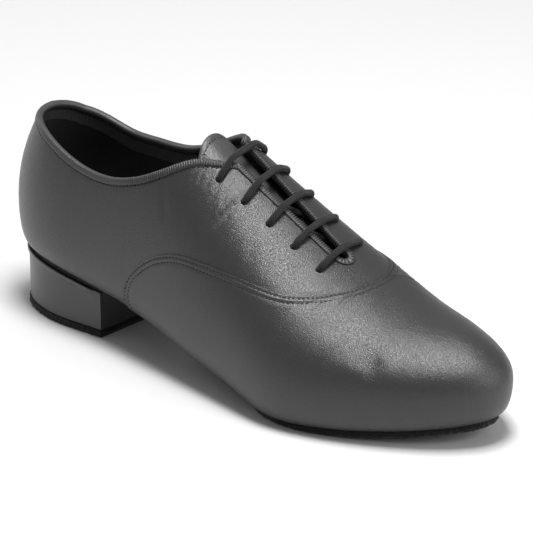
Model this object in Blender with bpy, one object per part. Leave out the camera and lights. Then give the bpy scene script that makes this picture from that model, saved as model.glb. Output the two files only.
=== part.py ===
"""A man's ballroom dance shoe for the right foot, as an assembly of solids, one named object each.

The frame is in metres: +X to the toe, +Y to the inner side of the foot, +Z up. The origin is on
the floor, under the middle of the shoe's length and of its width.
"""

import math
from collections import namedtuple
from functools import lru_cache

import bmesh
import bpy
import numpy as np
from mathutils import Matrix, Vector

# The last: the form that the upper is pulled over, measured at the upper's outer face
LENGTH = 0.2870
WIDTH = 0.098
HEEL_OFFSET = 0.0036
INSTEP_RISE = 0.082
HEEL_HEIGHT = 0.0305
TOE_SPRING = 0.009
HEEL_ROUND = 0.053
TOE_ROUND = 0.098
HEEL_REACH = 0.067
HEEL_ZONE = 0.158
TOE_REACH = 0.034
ROUND_POWER = 2.2

# Clearances and sheet thicknesses
CLEARANCE = 0.0003
UPPER_WALL = 0.0016
SOLE_THICKNESS = 0.0038
TREAD_FLAT = 0.0005
SEAT_THICKNESS = 0.0018
INSOLE_THICKNESS = 0.0022
TONGUE_THICKNESS = 0.0015
BINDING_THICKNESS = 0.0006
BINDING_CLEARANCE = 0.0005

# The upper's edges
COLLAR_BACK_RISE = 0.066
LASTING_MARGIN = 0.012
INSOLE_INSET = 0.0020
SOLE_INSET = 0.0004
SOLE_EDGE_ROUND = 0.0006
SOLE_WAIST_DRAW = 0.0045
SOLE_WAIST_END = 0.182
BINDING_DEPTH = 0.0028
CORNER_REACH = 0.2
CORNER_SEARCH = 0.08
FACING_LOW = 0.3
CORNER_ROUND = 0.05
THROAT_TOP = 0.1310
THROAT_LENGTH = 0.067
THROAT_TOP_GAP = 0.0138
THROAT_END_GAP = 0.0058

# The vamp laps over the quarters: its edge is a step in the upper's wall
VAMP_START = 0.338
VAMP_GAP = 0.0150
VAMP_STEP = 0.0006

# The heel
HEEL_LENGTH = 0.070
BREAST_NEAREST = 0.1
BREAST_FARTHEST = 0.4
HEEL_RIM = 0.0004
HEEL_TAPER = 0.0002
HEEL_BAND_HEIGHT = 0.0030
HEEL_BAND_STEP = 0.0004
HEEL_BAND_SETBACK = 0.0050
TIP_THICKNESS = 0.0036
TIP_LEDGE = 0.0004

# The lacing
EYELET_ROWS = 5
EYELET_FIRST = 0.0066
EYELET_LAST = 0.0053
EYELET_TOP_HALF = 0.0180
EYELET_END_HALF = 0.0164
EYELET_SKEW = 0.0010
EYELET_RADIUS = 0.0021
LACE_RADIUS = 0.0016
STRAND_BOW = 0.0042

# The tongue
TONGUE_TOP = 0.0115
TONGUE_ROUND = 0.13
TONGUE_COLUMNS = 12
TONGUE_TAIL = 0.0120
TONGUE_TOP_WIDTH = 0.056
TONGUE_TAIL_WIDTH = 0.052

# The meshes: how far apart the upper's ribs are, and where its rows are between the bottom line,
# the vamp's edge and the binding
RIB_STEP = 0.0104
RIB_CLEAR = 0.3
ROUND_RIBS = (0.60, 0.32, 0.13, 0.03)
CORNER_NEAR = 0.004
BELOW_SEAM = (0.0, 0.09, 0.20, 0.40, 0.60, 0.80, 1.0)
ABOVE_SEAM = (0.0, 0.26, 0.52, 0.76, 1.0)
FRONT_SPLIT = 0.70
BOTTOM_ROLL = -0.97

Section = namedtuple(
    "Section",
    "name along outer inner lift spring widest ridge crest tuck_outer tuck_inner side "
    "crown_outer crown_inner",
)
# Along is a share of LENGTH. Outer and inner are how far the widest line stands from the heel's
# middle line, which lies HEEL_OFFSET to the outer side of the axis, and crest is where the ridge
# is. The tucks are how far the bottom line is drawn in from the widest line. These are shares of
# WIDTH. Lift is a share of HEEL_HEIGHT, spring of TOE_SPRING, and widest and ridge, above the
# bottom line, of INSTEP_RISE. Side and the crowns say how full the section is beside and on top.
# The sides meet in the first row and the last, so there the tucks are equal, and so the crowns.
SECTIONS = [
    Section("back", 0.00, 0.340, 0.342, 1.00, 0.00, 0.27, 1.24, 0.00, 0.054, 0.054, 0.50, 0.50, 0.50),
    Section("heel", 0.10, 0.338, 0.342, 0.97, 0.00, 0.26, 1.28, 0.00, 0.050, 0.060, 0.46, 0.52, 0.52),
    Section("breast", 0.24, 0.340, 0.318, 0.78, 0.00, 0.25, 1.33, 0.00, 0.080, 0.085, 0.42, 0.56, 0.56),
    Section("waist", 0.36, 0.356, 0.303, 0.54, 0.00, 0.25, 1.30, 0.01, 0.124, 0.110, 0.43, 0.64, 0.70),
    Section("instep", 0.47, 0.394, 0.355, 0.29, 0.00, 0.24, 1.16, 0.03, 0.134, 0.090, 0.46, 0.70, 0.90),
    Section("joint", 0.58, 0.432, 0.440, 0.12, 0.00, 0.23, 0.965, 0.065, 0.110, 0.060, 0.50, 0.68, 0.88),
    Section("ball", 0.68, 0.458, 0.515, 0.00, 0.00, 0.22, 0.795, 0.09, 0.062, 0.048, 0.54, 0.66, 0.80),
    Section("tread", 0.78, 0.412, 0.550, 0.00, 0.12, 0.21, 0.605, 0.115, 0.052, 0.048, 0.56, 0.64, 0.72),
    Section("toe box", 0.89, 0.325, 0.550, 0.00, 0.46, 0.20, 0.49, 0.14, 0.056, 0.056, 0.58, 0.62, 0.72),
    Section("tip", 1.00, 0.220, 0.535, 0.00, 1.00, 0.19, 0.39, 0.16, 0.060, 0.060, 0.58, 0.65, 0.65),
]

CollarRow = namedtuple("CollarRow", "along outer inner")
# How high the collar's edge stands over the bottom line, as shares of COLLAR_BACK_RISE.
COLLAR = [
    CollarRow(0.00, 1.00, 1.00),
    CollarRow(0.06, 1.01, 0.93),
    CollarRow(0.13, 0.965, 0.80),
    CollarRow(0.20, 0.915, 0.84),
    CollarRow(0.27, 0.935, 0.93),
    CollarRow(0.34, 1.07, 1.10),
    CollarRow(0.40, 1.26, 1.30),
    CollarRow(0.44, 1.38, 1.42),
    CollarRow(0.48, 1.40, 1.49),
]

SeamRow = namedtuple("SeamRow", "share level")
# The vamp's edge over the quarters: its share runs from 0 at VAMP_START to 1 where it closes, a
# VAMP_GAP beyond the throat's end, and the level is -1 at the bottom line, 0 at the widest line
# and 1 on the ridge. Before the first share and after the last the edge runs along the rib.
VAMP_SEAM = [
    SeamRow(0.000, -0.40),
    SeamRow(0.021, -0.08),
    SeamRow(0.064, 0.060),
    SeamRow(0.133, 0.145),
    SeamRow(0.219, 0.225),
    SeamRow(0.325, 0.300),
    SeamRow(0.459, 0.365),
    SeamRow(0.592, 0.430),
    SeamRow(0.725, 0.500),
    SeamRow(0.832, 0.575),
    SeamRow(0.912, 0.680),
    SeamRow(0.965, 0.800),
    SeamRow(1.000, 0.920),
]


def smooth_curve(stations, values):
    """A natural cubic spline through the values, as a function of the station."""
    x, y = np.array(stations, float), np.array(values, float)
    step, count = np.diff(x), len(x)
    matrix, right = np.eye(count), np.zeros(count)
    for i in range(1, count - 1):
        matrix[i, i - 1 : i + 2] = step[i - 1], 2 * (step[i - 1] + step[i]), step[i]
        right[i] = 6 * ((y[i + 1] - y[i]) / step[i] - (y[i] - y[i - 1]) / step[i - 1])
    bend = np.linalg.solve(matrix, right)

    def value(at):
        at = min(max(at, x[0]), x[-1])
        i = min(max(int(np.searchsorted(x, at)) - 1, 0), count - 2)
        a, b, h = x[i + 1] - at, at - x[i], step[i]
        curve = (bend[i] * a**3 + bend[i + 1] * b**3) / (6 * h)
        return curve + (y[i] / h - bend[i] * h / 6) * a + (y[i + 1] / h - bend[i + 1] * h / 6) * b

    return value


def level_curve(stations, values):
    """A curve through the values that never swings past them, so that what is flat stays flat."""
    x, y = np.array(stations, float), np.array(values, float)
    rise = np.diff(y) / np.diff(x)
    slope = np.zeros(len(x))
    for i in range(1, len(x) - 1):
        if rise[i - 1] * rise[i] > 0:
            slope[i] = 2 * rise[i - 1] * rise[i] / (rise[i - 1] + rise[i])
    slope[-1] = rise[-1]

    def value(at):
        at = min(max(at, x[0]), x[-1])
        i = min(max(int(np.searchsorted(x, at)) - 1, 0), len(x) - 2)
        h = x[i + 1] - x[i]
        s = (at - x[i]) / h
        start = (1 + 2 * s) * (1 - s) ** 2 * y[i] + s * (1 - s) ** 2 * h * slope[i]
        return start + s * s * (3 - 2 * s) * y[i + 1] + s * s * (s - 1) * h * slope[i + 1]

    return value


def column(rows, name, curve=smooth_curve):
    """One named column of a table, as a smooth function of how far along the shoe it is."""
    return curve([row.along for row in rows], [getattr(row, name) for row in rows])


FORM = {name: column(SECTIONS, name) for name in Section._fields[2:]}
FORM["lift"] = column(SECTIONS, "lift", level_curve)
FORM["spring"] = column(SECTIONS, "spring", level_curve)
SIDES = {"outer": -1, "inner": 1}
OTHER = {"outer": "inner", "inner": "outer"}
COLLAR_LINE = {side: column(COLLAR, side) for side in SIDES}


def along_of(x):
    return x / LENGTH + 0.5


def x_of(along):
    return (along - 0.5) * LENGTH


def end_round(x):
    """How much of the section's width is left where the heel and the toe round off."""
    left = 1.0
    for distance, reach in ((x + LENGTH / 2, HEEL_ROUND), (LENGTH / 2 - x, TOE_ROUND)):
        if distance < reach:
            left *= max(1 - (1 - distance / reach) ** ROUND_POWER, 0) ** (1 / ROUND_POWER)
    return left


def widest_y(side, x):
    """Where the widest line of this side is, across the shoe."""
    along = along_of(x)
    outer, inner = FORM["outer"](along), FORM["inner"](along)
    middle, half = (inner - outer) / 2, (inner + outer) / 2
    return WIDTH * (middle + SIDES[side] * half * end_round(x)) - HEEL_OFFSET


def bottom_z(x):
    """The height of the upper's underside, where it is lasted to the sole and the heel."""
    along = along_of(x)
    forepart = SOLE_THICKNESS + CLEARANCE + TOE_SPRING * FORM["spring"](along)
    lift = HEEL_HEIGHT + SEAT_THICKNESS - SOLE_THICKNESS + CLEARANCE
    return forepart + lift * FORM["lift"](along)


def sole_thickness(x):
    """Full in front of the heel, thin on top of it."""
    start = x_of(0) + HEEL_LENGTH
    share = min(max((x - start) / HEEL_LENGTH, 0), 1)
    return SEAT_THICKNESS + (SOLE_THICKNESS - SEAT_THICKNESS) * share * share * (3 - 2 * share)


def sole_top(x):
    return bottom_z(x) - CLEARANCE


def sole_draw(side, place):
    """How far the sole is drawn in from the widest line: more under the waist."""
    r = rib(side, place)
    start, end = x_of(0) + HEEL_LENGTH, x_of(0) + SOLE_WAIST_END
    share = min(max((r.foot[0] - start) / (end - start), 0), 1)
    return r.tuck + SOLE_INSET + SOLE_WAIST_DRAW * math.sin(math.pi * share)


def sole_bottom(x):
    """The sole's underside, which the foot's weight presses flat under the ball."""
    return max(sole_top(x) - sole_thickness(x) - TREAD_FLAT, 0.0)


def ridge_y(x):
    return WIDTH * FORM["crest"](along_of(x)) - HEEL_OFFSET


def ridge_z(x):
    return bottom_z(x) + INSTEP_RISE * FORM["ridge"](along_of(x))


def outline_of(side):
    """Fine points of the widest line, heel to toe, and the way out from the shoe at each."""
    x = -LENGTH / 2 * np.cos(np.linspace(0, math.pi, 721))
    y = np.array([widest_y(side, at) for at in x])
    run_x, run_y = np.gradient(x), np.gradient(y)
    run_x[[0, -1]] = 0
    run_y[0], run_y[-1] = SIDES[side], -SIDES[side]
    size = np.hypot(run_x, run_y)
    return x, y, -SIDES[side] * run_y / size, SIDES[side] * run_x / size


OUTLINE = {side: outline_of(side) for side in SIDES}
MEAN_STEP = sum(np.hypot(np.diff(x), np.diff(y)) for x, y, _, _ in OUTLINE.values()) / 2
MEAN_RUN = np.concatenate([[0], np.cumsum(MEAN_STEP)])
PERIMETER = MEAN_RUN[-1]


def place_of(x):
    """The place at this x: places run from 0 at the heel's back to 1 at the toe's tip."""
    return float(np.interp(x, OUTLINE["outer"][0], MEAN_RUN)) / PERIMETER


# How full the side is where it rolls under to the bottom line, and the step that slopes are taken over
ROLL_DRAW = 0.25
ROLL_DROP = 0.50
STEP = 1e-3

Rib = namedtuple("Rib", "foot out spine foot_z tuck side crown")


@lru_cache(maxsize=None)
def rib(side, place):
    """What the last's section is made from where it leaves the widest line at this place."""
    x, y, out_x, out_y = (float(np.interp(place * PERIMETER, MEAN_RUN, row)) for row in OUTLINE[side])
    size = math.hypot(out_x, out_y)
    behind = max(1 - (x + LENGTH / 2) / HEEL_ZONE, 0)
    ahead = max(1 - (LENGTH / 2 - x) / TOE_ROUND, 0)
    spine_x = x + HEEL_REACH * behind**2 - TOE_REACH * ahead**2
    along = along_of(x)
    return Rib(
        foot=(x, y),
        out=(out_x / size, out_y / size),
        spine=(spine_x, ridge_y(spine_x)),
        foot_z=bottom_z(x) + INSTEP_RISE * FORM["widest"](along),
        tuck=WIDTH * FORM["tuck_" + side](along),
        side=FORM["side"](along),
        crown=FORM["crown_" + side](along),
    )


def form_point(side, place, level):
    """A point of the last: level 1 is the ridge, 0 the widest line, -1 the bottom line.

    From -1 to -2 it is on the margin that is turned in under the foot. Past the ridge, and past
    the heel's back and the toe's tip, the form goes on down its other side.
    """
    if level > 1:
        return form_point(OTHER[side], place, 2 - level)
    if place < 0:
        return form_point(OTHER[side], -place, level)
    if place > 1:
        return form_point(OTHER[side], 2 - place, level)
    r = rib(side, place)
    if level >= 0:
        a, b = 1 - level, level
        out = a**3 + 3 * a * a * b + 3 * r.crown * a * b * b
        up = 3 * r.side * a * a * b + 3 * a * b * b + b**3
        x = r.spine[0] + (r.foot[0] - r.spine[0]) * out
        y = r.spine[1] + (r.foot[1] - r.spine[1]) * out
        return Vector((x, y, r.foot_z + (ridge_z(x) - r.foot_z) * up))
    b = min(-level, 1)
    a = 1 - b
    inward = r.tuck * (3 * ROLL_DRAW * a * b * b + b**3) + LASTING_MARGIN * max(-level - 1, 0)
    x, y = r.foot[0] - r.out[0] * inward, r.foot[1] - r.out[1] * inward
    down = 3 * ROLL_DROP * a * a * b + 3 * a * b * b + b**3
    return Vector((x, y, r.foot_z + (bottom_z(x) - r.foot_z) * down))


def form_slopes(side, place, level):
    """How the form runs here, along the shoe and up the section."""
    forward = form_point(side, place + STEP, level) - form_point(side, place - STEP, level)
    upward = form_point(side, place, level + STEP) - form_point(side, place, level - STEP)
    return forward / (2 * STEP), upward / (2 * STEP)


def form_normal(side, place, level):
    forward, upward = form_slopes(side, place, level)
    return (forward.cross(upward) * -SIDES[side]).normalized()


def off_form(side, place, level, lift):
    """A point this far outside the last, or inside it where lift is negative."""
    return form_point(side, place, level) + form_normal(side, place, level) * lift


def solve(low, high, value):
    """Where a value that rises from below zero to above it is zero."""
    for _ in range(40):
        middle = (low + high) / 2
        if value(middle) < 0:
            low = middle
        else:
            high = middle
    return (low + high) / 2


def throat_half(x):
    """Half the width of the throat's opening, from its top down to its round end."""
    before_end = THROAT_TOP + THROAT_LENGTH - LENGTH / 2 - x
    widen = before_end / THROAT_LENGTH
    half = (THROAT_END_GAP + (THROAT_TOP_GAP - THROAT_END_GAP) * widen) / 2
    end = THROAT_END_GAP / 2
    if before_end < end:
        half *= math.sqrt(max(1 - (1 - before_end / end) ** 2, 0))
    return half


def collar_level(side, place):
    """The level of the collar's edge, before the throat is opened."""

    def above(level):
        point = form_point(side, place, level)
        rise = COLLAR_BACK_RISE * COLLAR_LINE[side](along_of(point.x))
        return point.z - bottom_z(point.x) - rise

    return solve(0, 1, above) if above(1) > 0 else 1.3


def throat_level(side, place):
    """The level of the facing's edge, beside the opening over the instep."""

    def within(level):
        point = form_point(side, place, level)
        return throat_half(point.x) - abs(point.y - ridge_y(point.x))

    return solve(FACING_LOW, 1, within)


@lru_cache(maxsize=None)
def top_level(side, place):
    """The level of the upper's edge: collar and facing, with their corner rounded."""
    if place == 0:
        side = "outer"
    spine_x = rib(side, place).spine[0]
    if spine_x > THROAT_TOP + THROAT_LENGTH - LENGTH / 2 - 1e-9:
        return 1.0
    collar = collar_level(side, place)
    if spine_x < THROAT_TOP - LENGTH / 2 - CORNER_REACH * THROAT_TOP:
        return collar
    throat = throat_level(side, place)
    return (collar + throat - math.hypot(collar - throat, CORNER_ROUND)) / 2


def place_of_spine(x):
    """The place of the rib that ends on the ridge at this x."""
    return solve(0, 1, lambda place: rib("outer", place).spine[0] - x)


THROAT_END_X = THROAT_TOP + THROAT_LENGTH - LENGTH / 2
THROAT_END_PLACE = place_of_spine(THROAT_END_X)


def corner_place(side):
    """Where the collar's edge meets the facing's."""

    def past(place):
        return collar_level(side, place) - throat_level(side, place)

    middle = place_of_spine(THROAT_TOP - LENGTH / 2)
    return solve(middle - CORNER_SEARCH, middle + CORNER_SEARCH, past)


CORNER = {side: corner_place(side) for side in SIDES}


def spread(start, end, step):
    """Places from start to end, about a step apart, without the last."""
    count = max(round((end - start) * PERIMETER / step), 1)
    return list(np.linspace(start, end, count + 1)[:-1])


VAMP_CLOSE = THROAT_END_PLACE + VAMP_GAP / PERIMETER
SEAM_PLACES = [VAMP_START + (VAMP_CLOSE - VAMP_START) * row.share for row in VAMP_SEAM]
seam_level = level_curve(SEAM_PLACES, [row.level for row in VAMP_SEAM])


def rib_places():
    """The places of the upper's ribs: closer at the throat's corners and at the vamp's edge."""
    near = CORNER_NEAR / PERIMETER
    corner_start, corner_end = min(CORNER.values()) - near, max(CORNER.values()) + near
    end_start = place_of_spine(THROAT_END_X - THROAT_END_GAP * ROUND_RIBS[0])
    places = spread(0, corner_start, RIB_STEP)
    places.append(corner_start - RIB_STEP / 2 / PERIMETER)
    places += spread(corner_start, corner_end, RIB_STEP / 4)
    places += spread(corner_end, end_start, RIB_STEP)
    for back in ROUND_RIBS:
        places.append(place_of_spine(THROAT_END_X - THROAT_END_GAP * back))
    places += spread(THROAT_END_PLACE, 1, RIB_STEP)
    seam = [*SEAM_PLACES[:4], *SEAM_PLACES[-4:]]
    clear = RIB_CLEAR * RIB_STEP / PERIMETER
    kept = [place for place in places if min(abs(place - other) for other in seam) > clear]
    before = [place - VAMP_STEP / 2 / PERIMETER for place in (VAMP_START, VAMP_CLOSE)]
    return sorted([*kept, *seam, *before, 1.0])


RIB_PLACES = rib_places()


def rib_levels(side, place):
    """The levels of the mesh up one rib: a double row at the vamp's edge, one below the binding."""
    top = top_level(side, place)
    upward = form_slopes(side, place, top - 0.02)[1].length
    binding = top - (BINDING_DEPTH + CLEARANCE) / upward
    seam = FRONT_SPLIT if place >= VAMP_CLOSE else seam_level(place)
    binding = max(binding, (seam + top) / 2)
    foot = seam - VAMP_STEP / 2 / upward
    below = [-1 + (foot + 1) * share for share in BELOW_SEAM]
    above = [seam + (binding - seam) * share for share in ABOVE_SEAM]
    return [-2.0, -1.5, *below, *above, top]


def on_vamp(place, level):
    """Whether this point of the upper's outer face is on the raised vamp."""
    if place < VAMP_START or level <= BOTTOM_ROLL:
        return False
    return place >= VAMP_CLOSE or level < seam_level(place) - 1e-9


def new_object(name, mesh, material):
    """Put a finished mesh in the scene, with its doubled points joined and its faces out."""
    bmesh.ops.remove_doubles(mesh, verts=mesh.verts, dist=2e-6)
    bmesh.ops.recalc_face_normals(mesh, faces=mesh.faces)
    data = bpy.data.meshes.new(name)
    mesh.to_mesh(data)
    mesh.free()
    data.materials.append(material)
    obj = bpy.data.objects.new(name, data)
    bpy.context.scene.collection.objects.link(obj)
    return obj


def finish(name, color, roughness):
    """A plain dielectric finish."""
    material = bpy.data.materials.new(name)
    material.use_nodes = True
    surface = material.node_tree.nodes["Principled BSDF"]
    surface.inputs["Base Color"].default_value = (*color, 1)
    surface.inputs["Roughness"].default_value = roughness
    surface.inputs["Metallic"].default_value = 0.0
    return material


def skin(mesh, rows, turn=False):
    """Quads between rows of points, each row as long as the next."""
    made = [[mesh.verts.new(point) for point in row] for row in rows]
    for near, far in zip(made, made[1:]):
        for i in range(len(near) - 1):
            corners = (near[i], near[i + 1], far[i + 1], far[i])
            mesh.faces.new(corners[::-1] if turn else corners)
    return made


def join_edges(mesh, first, second):
    """Quads that close a wall between an edge of its outer face and one of its inner face."""
    for i in range(len(first) - 1):
        mesh.faces.new((first[i], first[i + 1], second[i + 1], second[i]))


def upper_wall():
    """The closed wall along the last: its outer and inner face, and what joins their edges."""
    mesh = bmesh.new()
    for side in SIDES:
        outside, inside = [], []
        for place in RIB_PLACES:
            levels = rib_levels(side, place)
            lifts = [VAMP_STEP if on_vamp(place, level) else 0.0 for level in levels]
            outside.append([off_form(side, place, *spot) for spot in zip(levels, lifts)])
            inside.append([off_form(side, place, level, -UPPER_WALL) for level in levels])
        outer, inner = skin(mesh, outside), skin(mesh, inside)
        open_ribs = [i for i, place in enumerate(RIB_PLACES) if place < THROAT_END_PLACE - 1e-9]
        top = range(len(open_ribs) + 1)
        join_edges(mesh, [outer[i][-1] for i in top], [inner[i][-1] for i in top])
        join_edges(mesh, [row[0] for row in outer], [row[0] for row in inner])
    return new_object("upper", mesh, LEATHER)


def helper(obj):
    """Keep an object that only cuts or adds to another one out of the picture."""
    obj.hide_render = True
    obj.display_type = "WIRE"
    return obj


def combine(obj, other, operation):
    modifier = obj.modifiers.new(other.name, "BOOLEAN")
    modifier.operation = operation
    modifier.solver = "EXACT"
    modifier.object = other


def at_plan(x, y):
    """The side, place and level at which the upper half of the last is over this point."""
    place = place_of(x)
    for _ in range(6):
        side = "outer" if y < ridge_y(x) else "inner"

        def toward(level):
            return SIDES[side] * (y - form_point(side, place, level).y)

        level = solve(0, 1, toward)
        missed = x - form_point(side, place, level).x
        place = min(max(place + missed / PERIMETER, 0), 1)
    return side, place, level


def throat_line():
    """The ridge over the throat: fine points, and how far each lies from the throat's end."""
    x = np.linspace(THROAT_END_X + TONGUE_TAIL, THROAT_TOP - LENGTH / 2 - 0.03, 200)
    points = np.array([(at, ridge_y(at), ridge_z(at)) for at in x])
    run = np.concatenate([[0], np.cumsum(np.linalg.norm(np.diff(points, axis=0), axis=1))])
    return points, run - np.interp(-THROAT_END_X, -x, run)


THROAT_POINTS, THROAT_RUN = throat_line()


def throat_run(x):
    """How far up the ridge from the throat's end this x is."""
    return float(np.interp(-x, -THROAT_POINTS[:, 0], THROAT_RUN))


def over_throat(run, across, lift):
    """A point up the ridge from the throat's end, square to one side of it and off the last."""
    x, y = (float(np.interp(run, THROAT_RUN, THROAT_POINTS[:, axis])) for axis in (0, 1))
    ahead = ridge_y(x + 0.005) - ridge_y(x - 0.005)
    size = math.hypot(0.010, ahead)
    spot = at_plan(x - across * ahead / size, y + across * 0.010 / size)
    return off_form(*spot, lift)


def half_at(run):
    """Half the throat's opening, this far up from its end."""
    return throat_half(float(np.interp(run, THROAT_RUN, THROAT_POINTS[:, 0])))


THROAT_TOP_RUN = throat_run(THROAT_TOP - LENGTH / 2)


def eyelet_rows():
    """How far from the throat's end each row of holes is, the top row first."""
    top, end = THROAT_TOP_RUN - EYELET_FIRST, EYELET_LAST
    return [top + (end - top) * row / (EYELET_ROWS - 1) for row in range(EYELET_ROWS)]


ROW_RUNS = eyelet_rows()


def eyelet_across(row):
    """How far from the ridge the holes of a row are."""
    return EYELET_TOP_HALF + (EYELET_END_HALF - EYELET_TOP_HALF) * row / (EYELET_ROWS - 1)


def over_row(row, side, across, lift):
    """A point beside a row of holes; the inner holes stand a little further up than the outer."""
    skew = EYELET_SKEW * SIDES[side] * across / eyelet_across(row)
    return over_throat(ROW_RUNS[row] + skew, SIDES[side] * across, lift)


def cylinder_between(mesh, start, end, radius, segments):
    """A closed round bar between two points, added to a mesh."""
    way = end - start
    turn = way.to_track_quat("Z", "Y").to_matrix().to_4x4()
    place = Matrix.Translation((start + end) / 2) @ turn
    bmesh.ops.create_cone(
        mesh,
        cap_ends=True,
        segments=segments,
        radius1=radius,
        radius2=radius,
        depth=way.length,
        matrix=place,
    )


def eyelet_cut():
    """One cutter for all the punched holes of the facings."""
    mesh = bmesh.new()
    for row in range(EYELET_ROWS):
        for side in SIDES:
            outside = over_row(row, side, eyelet_across(row), 2 * UPPER_WALL)
            inside = over_row(row, side, eyelet_across(row), -3 * UPPER_WALL)
            cylinder_between(mesh, outside, inside, EYELET_RADIUS, 12)
    return helper(new_object("eyelet_cut", mesh, finish("eyelet_cut", (0.5, 0.5, 0.5), 0.5)))


def upper():
    obj = upper_wall()
    combine(obj, eyelet_cut(), "DIFFERENCE")
    return obj


def outline_point(side, place, inset):
    """A point of the plan, this far in from the widest line."""
    r = rib(side, place)
    return r.foot[0] - r.out[0] * inset, r.foot[1] - r.out[1] * inset


def slab(name, material, shares, reach, inset, top, bottom, edge, across=4):
    """A plate between two heights, in rows across the shoe from its outer edge to its inner one.

    Reach says which place of each side the last row is at, and edge how far each level of the
    plate's side stands out, from its top, 0, to its bottom, 1.
    """
    rows = []
    for share in shares:
        sides = {}
        for side in SIDES:
            place = share * reach[side]
            line = []
            for down, out in edge(share):
                x, y = outline_point(side, place, inset(side, place) - out)
                line.append(Vector((x, y, top(x) + (bottom(x) - top(x)) * down)))
            sides[side] = line
        row = []
        for height, end, order in ((top, 0, ("outer", "inner")), (bottom, -1, ("inner", "outer"))):
            start, stop = (sides[side][end] for side in order)
            for step in range(across + 1):
                point = start.lerp(stop, step / across)
                row.append(Vector((point.x, point.y, height(point.x))))
            row += sides[order[1]][1:-1] if end == 0 else sides[order[1]][-2:0:-1]
        rows.append(row + [row[0]])
    mesh = bmesh.new()
    made = skin(mesh, rows)
    if max(reach.values()) < 1:
        mesh.faces.new(made[-1][:-1])
    bmesh.ops.remove_doubles(mesh, verts=mesh.verts, dist=2e-6)
    return new_object(name, mesh, material)


def tuck_at(side, place):
    return rib(side, place).tuck


FULL = {side: 1.0 for side in SIDES}
SLAB_SHARES = [*spread(0, 1, RIB_STEP), 1.0]


def outsole():
    edge = ((0, 0.0), (0.3, SOLE_EDGE_ROUND / 2), (0.75, SOLE_EDGE_ROUND / 2), (1, -SOLE_EDGE_ROUND))
    return slab(
        "outsole",
        SUEDE,
        SLAB_SHARES,
        FULL,
        sole_draw,
        sole_top,
        sole_bottom,
        lambda share: edge,
    )


def insole():
    def bottom(x):
        return bottom_z(x) + UPPER_WALL + CLEARANCE

    def top(x):
        return bottom(x) + INSOLE_THICKNESS

    return slab(
        "insole",
        LINING,
        SLAB_SHARES,
        FULL,
        lambda side, place: tuck_at(side, place) + INSOLE_INSET,
        top,
        bottom,
        lambda share: ((0, 0.0), (1, 0.0)),
    )


def heel_reach():
    """The place of each side at which the heel's front face is."""
    front = x_of(0) + HEEL_LENGTH

    def reach(side):
        def ahead(place):
            return outline_point(side, place, tuck_at(side, place))[0] - front

        return solve(BREAST_NEAREST, BREAST_FARTHEST, ahead)

    return {side: reach(side) for side in SIDES}


def heel_block_top(x):
    return sole_bottom(x) - CLEARANCE


def heel():
    reach = heel_reach()
    length = min(reach.values()) * PERIMETER
    band_end = 1 - HEEL_BAND_SETBACK / length
    height = HEEL_HEIGHT - TIP_THICKNESS

    def edge(share):
        band = HEEL_BAND_STEP if share <= band_end else 0.0
        low = HEEL_BAND_HEIGHT * (0.5 + 0.5 * share) / height
        step = HEEL_BAND_STEP / height
        return (
            (0, HEEL_RIM + band),
            (low, HEEL_RIM + band),
            (low + step, HEEL_RIM),
            (0.6, HEEL_RIM - 0.6 * HEEL_TAPER),
            (1, HEEL_RIM - HEEL_TAPER),
        )

    shares = [*spread(0, band_end, RIB_STEP / length * PERIMETER * 0.7), band_end]
    shares += [band_end + HEEL_BAND_STEP / length, 1.0]
    return slab(
        "heel",
        LEATHER_HEEL,
        shares,
        reach,
        tuck_at,
        heel_block_top,
        lambda x: TIP_THICKNESS + CLEARANCE,
        edge,
    )


def heel_tip():
    reach = heel_reach()
    out = HEEL_RIM - HEEL_TAPER + TIP_LEDGE
    return slab(
        "heel_tip",
        SUEDE,
        [*spread(0, 1, RIB_STEP / min(reach.values()) * 0.7), 1.0],
        reach,
        tuck_at,
        lambda x: TIP_THICKNESS,
        lambda x: 0.0,
        lambda share: ((0, out), (0.8, out), (1, out - SOLE_EDGE_ROUND)),
        across=2,
    )


LaceSpot = namedtuple("LaceSpot", "across lift")
TURN = EYELET_RADIUS
UNDER = UPPER_WALL + BINDING_THICKNESS + 2 * CLEARANCE + LACE_RADIUS
OVER = CLEARANCE + TURN
TONGUE_DEPTH = UNDER + LACE_RADIUS + 2 * CLEARANCE


def bar_points(row, from_side, to_side):
    """The lace up through one hole, straight over to the other, and down through it."""
    hole = eyelet_across(row)
    binding = half_at(ROW_RUNS[row])
    arch = CLEARANCE + BINDING_THICKNESS + CLEARANCE + LACE_RADIUS
    corner = TURN * (1 - math.sqrt(0.5))
    half = [
        LaceSpot(hole, -UPPER_WALL),
        LaceSpot(hole, CLEARANCE),
        LaceSpot(hole - corner, OVER - corner),
        LaceSpot(hole - TURN, OVER),
        LaceSpot(binding + BINDING_DEPTH, arch),
        LaceSpot(binding, arch),
    ]
    points = [over_row(row, from_side, spot.across, spot.lift) for spot in half]
    points += [over_row(row, to_side, spot.across, spot.lift) for spot in reversed(half)]
    return points


def strand_points(start_row, start_side, end_row, end_side):
    """The lace from one hole to another, between the facings and the tongue."""
    ends = [
        (ROW_RUNS[row] + EYELET_SKEW * SIDES[side], SIDES[side] * eyelet_across(row))
        for row, side in ((start_row, start_side), (end_row, end_side))
    ]
    corner = TURN * (1 - math.sqrt(0.5))
    length = math.hypot(ends[1][0] - ends[0][0], ends[1][1] - ends[0][1])
    points = []
    bow = STRAND_BOW if start_side == end_side and abs(end_row - start_row) > 1 else 0.0
    near, far = corner / length, TURN / length
    for share in (near, far, 0.25, 0.5, 0.75, 1 - far, 1 - near):
        run = ends[0][0] + (ends[1][0] - ends[0][0]) * share
        across = ends[0][1] + (ends[1][1] - ends[0][1]) * share
        across -= SIDES[start_side] * bow * math.sin(math.pi * share)
        end = min(share, 1 - share) * length
        lift = -UNDER if end > corner * 1.01 else -UNDER + corner
        points.append(over_throat(run, across, lift))
    return points


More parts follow.
